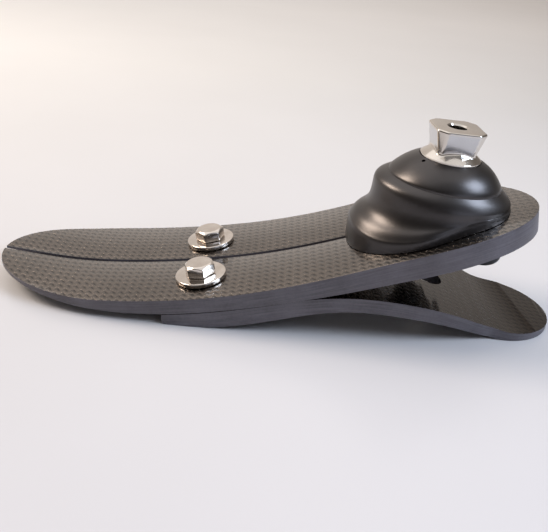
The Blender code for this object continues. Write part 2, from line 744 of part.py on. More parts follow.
for name, side in SIDES.items():
    frame = surface_frame(REAR_SCREW_X, side * REAR_SCREW_Y)
    seat = -keel_thickness(REAR_SCREW_X) - REAR_WASHER_SEAT
    head_top = seat - REAR_WASHER_THICKNESS - GAP
    hole = cylinder(REAR_SCREW_RADIUS + GAP, head_top - REACH / 2, REAR_SCREW_REACH + GAP)
    hole = add_cutter(f"rear_hole_{name}", hole, frame)
    boolean(keel_rear, "DIFFERENCE", hole)
    boolean(housing, "DIFFERENCE", hole)

    washer = cylinder(REAR_WASHER_RADIUS, seat - REAR_WASHER_THICKNESS, seat)
    washer = add_part(f"rear_washer_{name}", washer, "black_steel", None, frame)
    boolean(washer, "DIFFERENCE", hole)

    shank = [(REAR_SCREW_RADIUS, REAR_SCREW_REACH), (REAR_SCREW_RADIUS, head_top)]
    screw = turned([*shank, *button_head(head_top)])
    screw = add_part(f"rear_screw_{name}", screw, "black_steel", None, frame)
    head_bottom = head_top - REAR_HEAD_HEIGHT
    socket = cylinder(
        REAR_SOCKET_RADIUS, head_bottom - REAR_HEAD_HEIGHT, head_bottom + REAR_SOCKET_DEPTH,
        segments=6,
    )
    boolean(screw, "DIFFERENCE", add_cutter(f"rear_socket_{name}", socket, frame))


# Grub screw

grub_frame = (
    Matrix.Translation(GRUB_MOUTH) @ Matrix.Rotation(GRUB_TURN, 4, "Z")
    @ Matrix.Rotation(GRUB_LEAN, 4, "Y")
)
grub_bottom = -GRUB_RECESS - GRUB_LENGTH
grub_hole = cylinder(GRUB_RADIUS + GAP, grub_bottom - GAP, GRUB_LENGTH, GRUB_SEGMENTS)
boolean(housing, "DIFFERENCE", add_cutter("grub_hole", grub_hole, grub_frame))
grub = cylinder(GRUB_RADIUS, grub_bottom, -GRUB_RECESS, GRUB_SEGMENTS)
add_part("grub_screw", grub, "black_steel", None, grub_frame)
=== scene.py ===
"""The looks of a carbon fibre prosthetic foot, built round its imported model.

Metres, +Z up. The toe points to -X, the heel to +X, and the camera stands on the -Y side.
"""

import math

import bmesh
import bpy
import numpy as np
from mathutils import Matrix, Vector


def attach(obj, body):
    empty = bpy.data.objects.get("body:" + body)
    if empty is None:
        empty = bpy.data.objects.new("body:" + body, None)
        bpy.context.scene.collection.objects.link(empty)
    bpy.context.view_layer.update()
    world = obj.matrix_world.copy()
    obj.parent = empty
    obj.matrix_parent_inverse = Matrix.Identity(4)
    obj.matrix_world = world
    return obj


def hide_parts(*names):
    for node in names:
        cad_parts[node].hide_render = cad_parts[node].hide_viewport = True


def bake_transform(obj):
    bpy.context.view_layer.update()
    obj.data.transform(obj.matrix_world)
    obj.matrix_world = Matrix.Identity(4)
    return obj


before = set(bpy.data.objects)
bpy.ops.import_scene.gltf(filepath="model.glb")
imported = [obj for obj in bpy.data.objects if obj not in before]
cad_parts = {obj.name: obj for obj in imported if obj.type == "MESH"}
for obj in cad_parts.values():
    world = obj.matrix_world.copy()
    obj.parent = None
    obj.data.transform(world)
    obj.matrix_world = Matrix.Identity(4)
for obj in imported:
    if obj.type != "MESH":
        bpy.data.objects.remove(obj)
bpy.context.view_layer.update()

# The gap between pieces, the distance at which points merge, how far a cutter reaches, the angle
# past which an edge is shaded sharp, where the stations of a rounded nose or shoulder start, and
# how finely round pieces and their corners are made.
GAP = 0.0003
WELD = 1e-6
REACH = 0.060
SHARP_ANGLE = math.radians(30)
FIRST_ANGLE = 0.02
ROUND_SEGMENTS = 96
HEX_SIDES = 6
CORNER_STEPS = 4
SIDES = {"left": -1, "right": 1}

# Keel leaf: (x, height of the top face), (x, thickness) and (x, half width).
KEEL_TOP = (
    (-0.1428, 0.0113), (-0.1228, 0.0095), (-0.1028, 0.0082), (-0.0778, 0.0092),
    (-0.0478, 0.0129), (-0.0128, 0.0200), (0.0272, 0.0327), (0.0722, 0.0499), (0.1192, 0.0625),
)
KEEL_THICKNESS = (
    (-0.1428, 0.0009), (-0.1078, 0.0029), (-0.0628, 0.0066), (-0.0128, 0.0075),
    (0.0472, 0.0101), (0.1122, 0.0105),
)
KEEL_HALF_WIDTH = (
    (-0.1028, 0.0374), (-0.0728, 0.0390), (-0.0328, 0.0394), (0.0072, 0.0382),
    (0.0422, 0.0376), (0.0772, 0.0385),
)
KEEL_TIP = -0.1370
KEEL_TAIL = 0.1168
TOE_ROUND_LENGTH = 0.0591
TOE_ROUND_POWER = 2.2
TAIL_ROUND_LENGTH = 0.0594
TAIL_ROUND_POWER = 2.0
SLOT_WIDTH = 0.0024
SLOT_END = 0.044
SLOT_END_POINTS = 17
KEEL_STATIONS = 150
KEEL_UNDERSIDE_STATIONS = 400

# Heel leaf: (x, height of the bottom face), (x, thickness) and (x, half width).
HEEL_SOLE = (
    (-0.0400, 0.0), (-0.0278, 0.0008), (-0.0028, 0.0061), (0.0272, 0.0135), (0.0572, 0.0134),
    (0.0822, 0.0081), (0.1132, 0.0),
)
HEEL_THICKNESS = (
    (-0.0548, 0.0050), (-0.0128, 0.0086), (0.0272, 0.0073), (0.0672, 0.0069), (0.1222, 0.0037),
)
HEEL_HALF_WIDTH = (
    (-0.0548, 0.0395), (-0.0228, 0.0392), (0.0072, 0.0379), (0.0422, 0.0369),
    (0.0722, 0.0343), (0.1022, 0.0262),
)
HEEL_FRONT = -0.0513
HEEL_TIP = 0.1370
HEEL_ROUND_LENGTH = 0.0268
HEEL_ROUND_POWER = 2.0
HEEL_NOSE_RADIUS = 0.0024
HEEL_NOSE_STATIONS = 9
ACCESS_HOLE_X = 0.0734
ACCESS_HOLE_RADIUS = 0.008
HEEL_STATIONS = 130

# The crease across the heel leaf's top face near its tip: where it crosses the middle, its slant,
# and the slope of the face beyond it. The gloss fades over a band in front of the crease, given
# here by its distances from it, as a painted dark reflection, and is partly back beyond it.
HEEL_CREASE_X = 0.1225
HEEL_CREASE_TURN = math.radians(8.7)
HEEL_CREASE_FALL = 0.07
HEEL_DARK_REFLECTION_BAND = (-0.016, -0.001)
HEEL_GLOSS_BEYOND = 0.5
HEEL_CREASE_BLUR = 0.0003

# Edges of the leaves, how far short of a rounded end its stations stop, as an angle, and the half
# length over which each leaf bends.
EDGE_ROUND = 0.0004
END_ANGLE = 0.012

# The flat layout that the weave follows: its samples, how far it runs past the leaves, and the
# least cosine between a leaf's slope and a polygon that counts as one of its faces.
LAYOUT_SAMPLES = 600
LAYOUT_MARGIN = 0.01
LAYOUT_FACE_COSINE = 0.85

# Forefoot bolts, washers and inserts. The BOLT_CROWN values are shares of the head's width across
# its flats and of its height.
BOLT_X = -0.0362
BOLT_Y = 0.0190
BOLT_RADIUS = 0.004
BOLT_FLATS = 0.013
BOLT_HEAD_HEIGHT = 0.0053
BOLT_REACH = 0.0130
BOLT_TURNS = {"left": 20.0, "right": 47.0}
BOLT_CROWN_TOP = 0.440
BOLT_CROWN_RIM = 0.60
BOLT_CROWN_DROP = 0.26
BOLT_EDGE = 0.00028
BOLT_EDGE_ANGLE = 20
BOLT_CHAMFER = 0.0004
WASHER_RADIUS = 0.012
WASHER_THICKNESS = 0.002
WASHER_SEAT = 0.0005
WASHER_EDGE = 0.0004
INSERT_RADIUS = 0.006
INSERT_FLANGE_RADIUS = 0.0078
INSERT_FLANGE_THICKNESS = 0.0015
INSERT_LENGTH = 0.0050
INSERT_EDGE = 0.0002

# Ankle housing sections: x and z of the front point, x and z of the rear point, half width, and
# how much a section swings: its sides dip in front of HOUSING_SWING_FROM and rise behind it. The
# sections are creased at HOUSING_CREASE and oval from HOUSING_ROUND_FROM. Between the two shares of
# its length in HOUSING_PINCH, a section narrows to no more than HOUSING_RING_HALF_WIDTH.
HOUSING_SECTIONS = (
    (0.0308, 0.0260, 0.1050, 0.0440, 0.0323, 0.0),
    (0.0308, 0.0425, 0.1050, 0.0540, 0.0325, 0.0120),
    (0.0314, 0.0466, 0.1048, 0.0565, 0.0320, 0.0140),
    (0.0334, 0.0495, 0.1046, 0.0576, 0.0310, 0.0120),
    (0.0362, 0.0519, 0.1044, 0.0585, 0.0299, 0.0090),
    (0.0384, 0.0547, 0.1041, 0.0593, 0.0290, 0.0050),
    (0.0394, 0.0586, 0.1039, 0.0602, 0.0284, 0.0010),
    (0.0397, 0.0636, 0.1038, 0.0612, 0.0279, 0.0),
    (0.0403, 0.0672, 0.1028, 0.0629, 0.0269, 0.0),
    (0.0428, 0.0692, 0.1010, 0.0647, 0.0257, 0.0),
    (0.0460, 0.0703, 0.0982, 0.0669, 0.0243, 0.0),
    (0.0468, 0.0717, 0.0972, 0.0694, 0.0241, 0.0),
    (0.0504, 0.0749, 0.0938, 0.0737, 0.0214, 0.0),
    (0.0546, 0.0778, 0.0900, 0.0767, 0.0175, 0.0),
    (0.0588, 0.0797, 0.0862, 0.0787, 0.0137, 0.0),
)
HOUSING_SWING_FROM = 0.4
HOUSING_RING_HALF_WIDTH = 0.0279
HOUSING_PINCH = (0.35, 0.75)
HOUSING_CREASE = 10
HOUSING_BASE_POWER = 2.3
HOUSING_ROUND_FROM = 6
HOUSING_SEGMENTS = 160
HOUSING_STEPS = 5
KEEL_BED_START = 0.020
KEEL_BED_STATIONS = 80

# Male pyramid: its axis leans back a little, and depths are measured down from its top face. The
# softnesses are the powers that join its surfaces, and a higher one gives a crisper edge.
# BORE_OVERSHOOT is how far above the top face its bore is cut from, and BORE_OVERLAP how far the
# bolt's hole in the housing reaches up into the spigot's.
PYRAMID_TOP = (0.0731, 0.0, 0.0930)
PYRAMID_LEAN = math.radians(2.3)
PYRAMID_TURN = math.radians(5.0)
PYRAMID_TAPER = math.radians(15.0)
SHOULDER_DEPTH = 0.0012
SHOULDER_HALF = 0.01135
CORNER_SHOULDER_RADIUS = 0.0133
CORNER_TAPER = 0.22
EDGE_SOFTNESS = 60
NECK_SOFTNESS = 30
NECK_RADIUS = 0.0094
NECK_DEPTH = 0.0100
FLARE_RADIUS = 0.0138
FLARE_DEPTH = 0.0143
FLARE_LIP = 0.0010
LEAST_FLARE_RADIUS = 0.001
SPIGOT_RADIUS = 0.0110
SPIGOT_DEPTH = 0.0245
PYRAMID_BORE_RADIUS = 0.0042
BORE_CHAMFER = 0.0007
BORE_OVERSHOOT = 0.001
BORE_OVERLAP = 0.002
SEAT_BORE_SEGMENTS = 128
PYRAMID_SEGMENTS = 256
SHOULDER_RINGS = 10
PYRAMID_RINGS = 70

# The pyramid's flats, told from its corners and its flare by the way that their polygons face.
FLAT_COSINE = 0.985
FLAT_RISE = (-0.35, -0.2)

# Centre bolt and taper washer.
CENTRE_BOLT_RADIUS = 0.005
CENTRE_BOLT_TOP_DEPTH = 0.0135
CENTRE_HEAD_RADIUS = 0.008
CENTRE_HEAD_HEIGHT = 0.006
CENTRE_SOCKET_RADIUS = 0.004
CENTRE_SOCKET_DEPTH = 0.0035
CENTRE_SEAT_HEIGHT = 0.0332
CENTRE_CHAMFER = 0.0005
CENTRE_HEAD_EDGE = 0.0008
CENTRE_HEAD_EDGE_MIDDLE = (0.0003, 0.0002)
TAPER_WASHER_RADIUS = 0.0095
TAPER_WASHER_EDGE = 0.0003
TAPER_WASHER_BED = (0.040, 0.100)
TAPER_WASHER_STATIONS = 50

# Rear screws.
REAR_SCREW_X = 0.0890
REAR_SCREW_Y = 0.0190
REAR_SCREW_RADIUS = 0.003
REAR_HEAD_RADIUS = 0.0070
REAR_HEAD_HEIGHT = 0.0044
REAR_HEAD_EDGE = 0.0008
REAR_HEAD_FLAT_RADIUS = 0.0042
REAR_SOCKET_RADIUS = 0.0023
REAR_SOCKET_DEPTH = 0.0023
REAR_WASHER_RADIUS = 0.008
REAR_WASHER_THICKNESS = 0.0014
REAR_WASHER_SEAT = 0.0011
REAR_SCREW_REACH = 0.0070
REAR_SCREW_EDGE = 0.0001
REAR_DOME_POINTS = 15

# Grub screw.
GRUB_MOUTH = (0.0593, -0.0083, 0.0782)
GRUB_TURN = math.radians(211.4)
GRUB_LEAN = math.radians(36.0)
GRUB_RADIUS = 0.0008
GRUB_GAP = 0.00005
GRUB_RECESS = 0.0008
GRUB_LENGTH = 0.0045
GRUB_SEGMENTS = 48
GRUB_CHAMFER = 0.0002
GRUB_SOCKET_RADIUS = 0.0005
GRUB_SOCKET_DEPTH = 0.0010

# The room's dim light and its glows: direction, cosines where each begins and is full, colour.
ROOM_LIGHT = (0.11, 0.10, 0.095, 1)
GLOWS = (
    ((0.0, 0.0, 1.0), 0.45, 0.98, (0.34, 0.34, 0.35)),
    ((-0.55, 0.80, 0.30), 0.25, 0.92, (0.58, 0.53, 0.49)),
    ((0.60, 0.80, 0.15), 0.30, 0.95, (0.08, 0.07, 0.06)),
)

# Lights: name, place, target, width and height, power and colour.
LIGHTS = (
    ("overhead", (-0.15, 0.55, 2.0), (-0.1, 0.4, 0.0), (3.0, 3.0), 13.5, (1.0, 0.985, 0.97)),
    ("window", (1.00, -0.22, 0.88), (0.07, 0, 0.07), (0.62, 0.56), 12.0, (0.70, 0.82, 1.0)),
    ("lamp", (-1.00, 0.20, 0.80), (0.05, 0, 0.06), (0.55, 0.50), 12.0, (1.0, 0.85, 0.70)),
    ("fill", (0.75, -0.90, 0.30), (0.08, 0, 0.03), (0.80, 0.40), 1.0, (0.74, 0.82, 1.0)),
)

# Floor: its size, and its colours on the left and on the right, near and far, with the far right's
# turning lighter beyond. These colours are painted light and shade: lighter on the left and darker
# on the far right as the room's light falls, and lighter on the near right over the foot's shadow.
# Each span says where one colour gives way to the next, along X or Y.
FLOOR_SIZE = 12
FLOOR_NEAR = ((0.50, 0.495, 0.512, 1), (0.74, 0.735, 0.775, 1))
FLOOR_FAR = ((0.86, 0.85, 0.84, 1), (0.50, 0.48, 0.46, 1))
FLOOR_BEYOND = (0.80, 0.75, 0.71, 1)
FLOOR_ASIDE_SPAN = (-0.5, 0.6)
FLOOR_AHEAD_SPAN = (-0.15, 0.5)
FLOOR_BEYOND_SPAN = (0.4, 1.1)
FLOOR_ROUGHNESS = 0.28

# Weave: the size of one repeat of the cloth.
WEAVE_REPEAT = 0.0037

# The name of a leaf's flat layout, and the values between which most of a noise texture lies.
LAYOUT_NAME = "leaf"
NOISE_SPAN = (0.3, 0.7)

# Camera: where it stands, its heading, pitch and roll in degrees, and its focal length.
CAMERA_PLACE = (-0.00412, -0.29114, 0.17096)
CAMERA_HEADING = 0.357
CAMERA_PITCH = 28.292
CAMERA_ROLL = 5.598
CAMERA_LENS = 43.457


# Curves through a few points

def spline(points, start_slope=None, end_slope=None):
    """A cubic spline through (x, value) points: natural at an end with no slope given."""
    xs, ys = np.array(points).T
    count = len(xs)
    step = np.diff(xs)
    matrix = np.zeros((count, count))
    right = np.zeros(count)
    for i in range(1, count - 1):
        matrix[i, i - 1:i + 2] = step[i - 1], 2 * (step[i - 1] + step[i]), step[i]
        right[i] = 6 * ((ys[i + 1] - ys[i]) / step[i] - (ys[i] - ys[i - 1]) / step[i - 1])
    matrix[0, 0] = matrix[-1, -1] = 1
    if start_slope is not None:
        matrix[0, :2] = 2 * step[0], step[0]
        right[0] = 6 * ((ys[1] - ys[0]) / step[0] - start_slope)
    if end_slope is not None:
        matrix[-1, -2:] = step[-1], 2 * step[-1]
        right[-1] = 6 * (end_slope - (ys[-1] - ys[-2]) / step[-1])
    bend = np.linalg.solve(matrix, right)

    def value(x):
        x = min(max(x, xs[0]), xs[-1])
        i = min(int(np.searchsorted(xs, x, side="right")) - 1, count - 2)
        a = (xs[i + 1] - x) / step[i]
        b = 1 - a
        curve = ((a ** 3 - a) * bend[i] + (b ** 3 - b) * bend[i + 1]) * step[i] ** 2 / 6
        return float(a * ys[i] + b * ys[i + 1] + curve)

    return value


keel_top = spline(KEEL_TOP)
keel_thickness = spline(KEEL_THICKNESS)
keel_half_width = spline(KEEL_HALF_WIDTH)
heel_sole = spline(HEEL_SOLE, start_slope=0, end_slope=0)
heel_thickness = spline(HEEL_THICKNESS)
heel_half_width = spline(HEEL_HALF_WIDTH)


def rounded_end(distance, length, power):
    """How wide a leaf is at this distance from its rounded end, as a share of its full width."""
    return (1 - (1 - min(max(distance / length, 0), 1)) ** power) ** 0.5


def slope_of(height, x, step=0.0005):
    return math.atan2(height(x + step) - height(x - step), 2 * step)


def normal_of(slope):
    return Vector((-math.sin(slope), 0, math.cos(slope)))


def keel_surface(x):
    """The point on the keel's top face at x, and the face's slope there."""
    return Vector((x, 0, keel_top(x))), slope_of(keel_top, x)


def keel_section(x):
    top, slope = keel_surface(x)
    bottom = top - normal_of(slope) * keel_thickness(x)
    width = keel_half_width(x)
    width *= rounded_end(x - KEEL_TIP, TOE_ROUND_LENGTH, TOE_ROUND_POWER)
    width *= rounded_end(KEEL_TAIL - x, TAIL_ROUND_LENGTH, TAIL_ROUND_POWER)
    return top, bottom, width


KEEL_UNDERSIDE = [
    keel_section(x)[1] for x in np.linspace(KEEL_TIP, KEEL_TAIL, KEEL_UNDERSIDE_STATIONS)
]


def keel_underside(x):
    return float(np.interp(x, [p.x for p in KEEL_UNDERSIDE], [p.z for p in KEEL_UNDERSIDE]))


def heel_section(x):
    """The heel leaf lies against the keel in front, and its lower front edge is rounded."""
    slope = slope_of(heel_sole, x)
    bottom = Vector((x, 0, heel_sole(x)))
    top = bottom + normal_of(slope) * heel_thickness(x)
    limit = keel_underside(top.x) - GAP / math.cos(slope_of(keel_underside, top.x))
    top.z = min(top.z, limit)
    into = max(HEEL_NOSE_RADIUS - (x - HEEL_FRONT), 0)
    bottom.z += HEEL_NOSE_RADIUS - (HEEL_NOSE_RADIUS ** 2 - into ** 2) ** 0.5
    width = heel_half_width(x) * rounded_end(HEEL_TIP - x, HEEL_ROUND_LENGTH, HEEL_ROUND_POWER)
    return top, bottom, width


# Meshes

def finish_mesh(bm, name):
    bmesh.ops.recalc_face_normals(bm, faces=bm.faces)
    mesh = bpy.data.meshes.new(name)
    bm.to_mesh(mesh)
    bm.free()
    mesh.shade_smooth()
    mesh.set_sharp_from_angle(angle=SHARP_ANGLE)
    return mesh


def new_object(name, bm, place=None):
    piece = bpy.data.objects.new(name, finish_mesh(bm, name))
    bpy.context.scene.collection.objects.link(piece)
    piece.matrix_world = place or Matrix.Identity(4)
    return piece


def loft(rings):
    """A surface through rings of points, with its two ends filled."""
    bm = bmesh.new()
    loops = [[bm.verts.new(point) for point in ring] for ring in rings]
    for lower, upper in zip(loops, loops[1:]):
        for i, vert in enumerate(lower):
            bm.faces.new((lower[i - 1], vert, upper[i], upper[i - 1]))
    bm.faces.new(loops[0])
    bm.faces.new(loops[-1])
    return bm


def prism(outline, y_from, y_to):
    """A solid with this (x, z) outline between two values of y."""
    bm = bmesh.new()
    face = bm.faces.new([bm.verts.new((x, y_from, z)) for x, z in outline])
    grown = bmesh.ops.extrude_face_region(bm, geom=[face])["geom"]
    moved = [item for item in grown if isinstance(item, bmesh.types.BMVert)]
    bmesh.ops.translate(bm, verts=moved, vec=(0, y_to - y_from, 0))
    return bm


def cylinder(radius, z_from, z_to, segments=64):
    bm = bmesh.new()
    bmesh.ops.create_cone(
        bm, cap_ends=True, segments=segments, radius1=radius, radius2=radius, depth=z_to - z_from,
        matrix=Matrix.Translation((0, 0, (z_from + z_to) / 2)),
    )
    return bm


def spin_points(points, pairs, segments):
    """Turns (radius, z) points about Z, with an edge between each pair of them."""
    bm = bmesh.new()
    verts = [bm.verts.new((radius, 0, z)) for radius, z in points]
    edges = [bm.edges.new((verts[i], verts[k])) for i, k in pairs]
    bmesh.ops.spin(
        bm, geom=verts + edges, cent=(0, 0, 0), axis=(0, 0, 1), angle=2 * math.pi, steps=segments,
    )
    bmesh.ops.remove_doubles(bm, verts=bm.verts, dist=WELD)
    return bm


def turned(profile, segments=ROUND_SEGMENTS):
    """A solid turned about Z from (radius, z) points, closed to the axis at both ends."""
    points = [(0, profile[0][1]), *profile, (0, profile[-1][1])]
    return spin_points(points, [(i, i + 1) for i in range(len(points) - 1)], segments)


def ring_solid(outline):
    """A ring turned about Z from a closed (radius, z) outline."""
    return spin_points(outline, [(i - 1, i) for i in range(len(outline))], ROUND_SEGMENTS)


def rounded_outline(corners, radius):
    """A (radius, z) outline with each corner replaced by an arc."""
    points = []
    for i, corner in enumerate(corners):
        here = Vector(corner)
        back = (Vector(corners[i - 1]) - here).normalized()
        ahead = (Vector(corners[(i + 1) % len(corners)]) - here).normalized()
        half = back.angle(ahead) / 2
        centre = here + (back + ahead).normalized() * (radius / math.sin(half))
        first = (here + back * (radius / math.tan(half)) - centre).normalized()
        last = (here + ahead * (radius / math.tan(half)) - centre).normalized()
        for k in range(CORNER_STEPS + 1):
            point = centre + first.slerp(last, k / CORNER_STEPS) * radius
            points.append((point.x, point.y))
    return points


def cut(piece, operation, *tools):
    """Applies Booleans with these meshes, each given as (mesh, place)."""
    helpers = []
    for bm, place in tools:
        helper = new_object("cutter", bm, place)
        modifier = piece.modifiers.new("boolean", "BOOLEAN")
        modifier.operation = operation
        modifier.object = helper
        helpers.append(helper)
    apply_modifiers(piece)
    for helper in helpers:
        bpy.data.objects.remove(helper, do_unlink=True)


def round_edges(piece, width, segments=3, angle=35):
    """Bevels the edges whose faces meet at more than an angle in degrees."""
    modifier = piece.modifiers.new("bevel", "BEVEL")
    modifier.width = width
    modifier.segments = segments
    modifier.limit_method = "ANGLE"
    modifier.angle_limit = math.radians(angle)
    modifier.miter_outer = "MITER_ARC"
    apply_modifiers(piece)


def apply_modifiers(piece):
    bpy.context.view_layer.update()
    graph = bpy.context.evaluated_depsgraph_get()
    mesh = bpy.data.meshes.new_from_object(piece.evaluated_get(graph), depsgraph=graph)
    piece.modifiers.clear()
    old = piece.data
    piece.data = mesh
    mesh.name = piece.name
    bpy.data.meshes.remove(old)
    mesh.shade_smooth()
    mesh.set_sharp_from_angle(angle=SHARP_ANGLE)


def dress(piece, *materials):
    piece.data.materials.clear()
    for material in materials:
        piece.data.materials.append(material)


# Materials

class Nodes:
    """Builds the node tree of a material or a world in a few words."""

    def __init__(self, owner, shader):
        owner.use_nodes = True
        self.owner = owner
        self.tree = owner.node_tree
        self.shader = self.tree.nodes[shader]

    def plug(self, value, socket):
        if isinstance(value, bpy.types.NodeSocket):
            self.tree.links.new(value, socket)
        else:
            socket.default_value = value

    def sum_of(self, operation, *values):
        """The result of a Math node."""
        node = self.tree.nodes.new("ShaderNodeMath")
        node.operation = operation
        for value, socket in zip(values, node.inputs):
            self.plug(value, socket)
        return node.outputs[0]

    def mix(self, share, first, second, blend="MIX"):
        node = self.tree.nodes.new("ShaderNodeMix")
        node.data_type = "RGBA"
        node.blend_type = blend
        self.plug(share, node.inputs[0])
        self.plug(first, node.inputs[6])
        self.plug(second, node.inputs[7])
        return node.outputs[2]

    def span(self, value, low, high, to_low=0.0, to_high=1.0, interpolation="LINEAR"):
        """Maps values between low and high to between to_low and to_high, and keeps them there."""
        node = self.tree.nodes.new("ShaderNodeMapRange")
        node.interpolation_type = interpolation
        for item, socket in zip((value, low, high, to_low, to_high), node.inputs):
            self.plug(item, socket)
        return node.outputs[0]

    def spread(self, noise, to_low, to_high):
        """Maps a noise to between to_low and to_high."""
        return self.span(noise, *NOISE_SPAN, to_low, to_high)

    def place(self):
        """Where a point lies in the object's own frame."""
        return self.tree.nodes.new("ShaderNodeTexCoord").outputs["Object"]

    def layout(self):
        """Where a point lies on a leaf's flat layout."""
        node = self.tree.nodes.new("ShaderNodeUVMap")
        node.uv_map = LAYOUT_NAME
        return node.outputs[0]

    def split(self, vector):
        """A vector's three values."""
        node = self.tree.nodes.new("ShaderNodeSeparateXYZ")
        self.tree.links.new(vector, node.inputs[0])
        return node.outputs

    def noise(self, vector, scale, detail=2.0, roughness=0.5):
        node = self.tree.nodes.new("ShaderNodeTexNoise")
        self.tree.links.new(vector, node.inputs["Vector"])
        node.inputs["Scale"].default_value = scale
        node.inputs["Detail"].default_value = detail
        node.inputs["Roughness"].default_value = roughness
        return node.outputs[0]

    def bump(self, height, distance):
        node = self.tree.nodes.new("ShaderNodeBump")
        self.tree.links.new(height, node.inputs["Height"])
        node.inputs["Distance"].default_value = distance
        node.inputs["Strength"].default_value = 1.0
        return node.outputs[0]

    def shade(self, colour, value):
        """A colour made lighter or darker by a value around 1."""
        node = self.tree.nodes.new("ShaderNodeHueSaturation")
        self.plug(colour, node.inputs["Color"])
        self.plug(value, node.inputs["Value"])
        return node.outputs[0]

    def set(self, **values):
        """Sets the shader's inputs and returns the material or world."""
        for key, value in values.items():
            self.plug(value, self.shader.inputs[key.replace("_", " ")])
        return self.owner


def new_material(name):
    return Nodes(bpy.data.materials.new(name), "Principled BSDF")


def scaled(colour, factor=1):
    """A colour with its alpha, made lighter or darker."""
    return (*(factor * c for c in colour), 1)


def heel_sheen(n):
    """The heel's resin is half as glossy beyond its crease, and in a band just before it the gloss
    is taken away as a painted dark reflection.
    """
    x, y, _ = n.split(n.place())
    across = n.sum_of("MULTIPLY", y, math.tan(HEEL_CREASE_TURN))
    beyond = n.sum_of("SUBTRACT", n.sum_of("ADD", x, across), HEEL_CREASE_X)
    before = n.span(beyond, *HEEL_DARK_REFLECTION_BAND, 1.0, 0.0)
    after = n.span(beyond, -HEEL_CREASE_BLUR, HEEL_CREASE_BLUR, 0.0, HEEL_GLOSS_BEYOND)
    return n.sum_of("MAXIMUM", before, after)


def weave_material(name, bright, dark, relief, gloss_relief, sheen=None):
    """Glossy resin over cloth whose every repeat shows one dark hook: partly the gap between raised
    tows, partly painted shade on the tows' slopes that face away from the light.
    """
    n = new_material(name)
    along, across, _ = n.split(n.layout())
    wobble = n.spread(n.noise(n.place(), scale=60, detail=1.0), -0.06, 0.06)
    a, b = (
        n.sum_of("FRACT", n.sum_of("ADD", n.sum_of("MULTIPLY", place, 1 / WEAVE_REPEAT), wobble))
        for place in (along, across)
    )

    def stroke(at, turn, length, width):
        """An oval mark in the repeat: 1 in its middle and falling to 0."""
        c, s = math.cos(math.radians(turn)), math.sin(math.radians(turn))
        da = n.sum_of("SUBTRACT", a, at[0])
        db = n.sum_of("SUBTRACT", b, at[1])
        p = n.sum_of(
            "ADD", n.sum_of("MULTIPLY", da, c / length), n.sum_of("MULTIPLY", db, s / length),
        )
        q = n.sum_of(
            "SUBTRACT", n.sum_of("MULTIPLY", db, c / width), n.sum_of("MULTIPLY", da, s / width),
        )
        far = n.sum_of("ADD", n.sum_of("MULTIPLY", p, p), n.sum_of("MULTIPLY", q, q))
        return n.sum_of("EXPONENT", n.sum_of("MULTIPLY", far, -1.0))

    long_leg = stroke(at=(0.62, 0.50), turn=-54, length=0.46, width=0.19)
    short_leg = stroke(at=(0.32, 0.62), turn=48, length=0.32, width=0.15)
    hook = n.sum_of("MAXIMUM", long_leg, n.sum_of("MULTIPLY", short_leg, 0.8))
    fibres = n.noise(n.place(), scale=1800, roughness=0.6)
    light = n.mix(fibres, scaled(bright, 0.8), scaled(bright, 1.2))
    cloud = n.spread(n.noise(n.place(), scale=45, detail=3.0), 0.82, 1.1)
    # The hook's dark colour is partly the gap between tows and partly painted shade.
    colour = n.shade(n.mix(hook, light, scaled(dark)), cloud)
    height = n.sum_of("SUBTRACT", 1.0, hook)
    return n.set(
        Base_Color=colour, Metallic=1.0, Roughness=n.span(hook, 0.0, 1.0, 0.24, 0.32),
        Normal=n.bump(height, relief), Coat_Weight=sheen(n) if sheen else 1.0,
        Coat_Roughness=0.05, Coat_IOR=1.5, Coat_Normal=n.bump(height, gloss_relief),
    )


def cut_edge_material():
    """The leaves' machined edges: plain dark laminate with faint plies and a few scuffs."""
    n = new_material("carbon_cut_edge")
    mapping = n.tree.nodes.new("ShaderNodeMapping")
    n.tree.links.new(n.layout(), mapping.inputs["Vector"])
    mapping.inputs["Scale"].default_value = (45, 1500, 1)
    plies = n.noise(mapping.outputs[0], scale=1.0)
    grain = n.noise(n.place(), scale=900, roughness=0.6)
    cloud = n.noise(n.place(), scale=70, detail=3.0)
    shade = n.sum_of("ADD", n.sum_of("MULTIPLY", plies, 0.5), n.sum_of("MULTIPLY", cloud, 0.5))
    streaks = n.mix(0.35, n.spread(shade, 0, 1), grain)
    colour = n.mix(streaks, scaled((0.040, 0.036, 0.043)), scaled((0.170, 0.158, 0.182)))
    relief = n.bump(n.sum_of("ADD", n.sum_of("MULTIPLY", plies, 0.6), grain), 0.00003)
    return n.set(
        Base_Color=colour, Roughness=n.spread(cloud, 0.38, 0.52), Normal=relief,
        Specular_IOR_Level=0.5,
    )


def metal_material(name, dark, bright, rough, grain):
    """A plated or polished metal whose colour and roughness vary a little over it."""
    n = new_material(name)
    cloud = n.noise(n.place(), scale=500 / 6, detail=4.0, roughness=0.6)
    fine = n.noise(n.place(), scale=1500, roughness=0.6)
    return n.set(
        Base_Color=n.mix(n.spread(cloud, 0, 1), scaled(dark), scaled(bright)), Metallic=1.0,
        Roughness=n.spread(cloud, rough * 0.75, rough * 1.3),
        Normal=n.bump(n.sum_of("ADD", n.sum_of("MULTIPLY", cloud, 0.5), fine), grain),
    )


def black_finish(name, colour, rough, grain, scale, metallic):
    """Blasted and anodised, or blackened: dark, with a fine grain that spreads the light."""
    n = new_material(name)
    fine = n.noise(n.place(), scale=scale, detail=3.0, roughness=0.7)
    cloud = n.noise(n.place(), scale=55, detail=3.0, roughness=0.6)
    return n.set(
        Base_Color=n.mix(cloud, scaled(colour, 0.8), scaled(colour, 1.25)), Metallic=metallic,
        Roughness=n.spread(cloud, rough * 0.92, rough * 1.08), Normal=n.bump(fine, grain),
    )


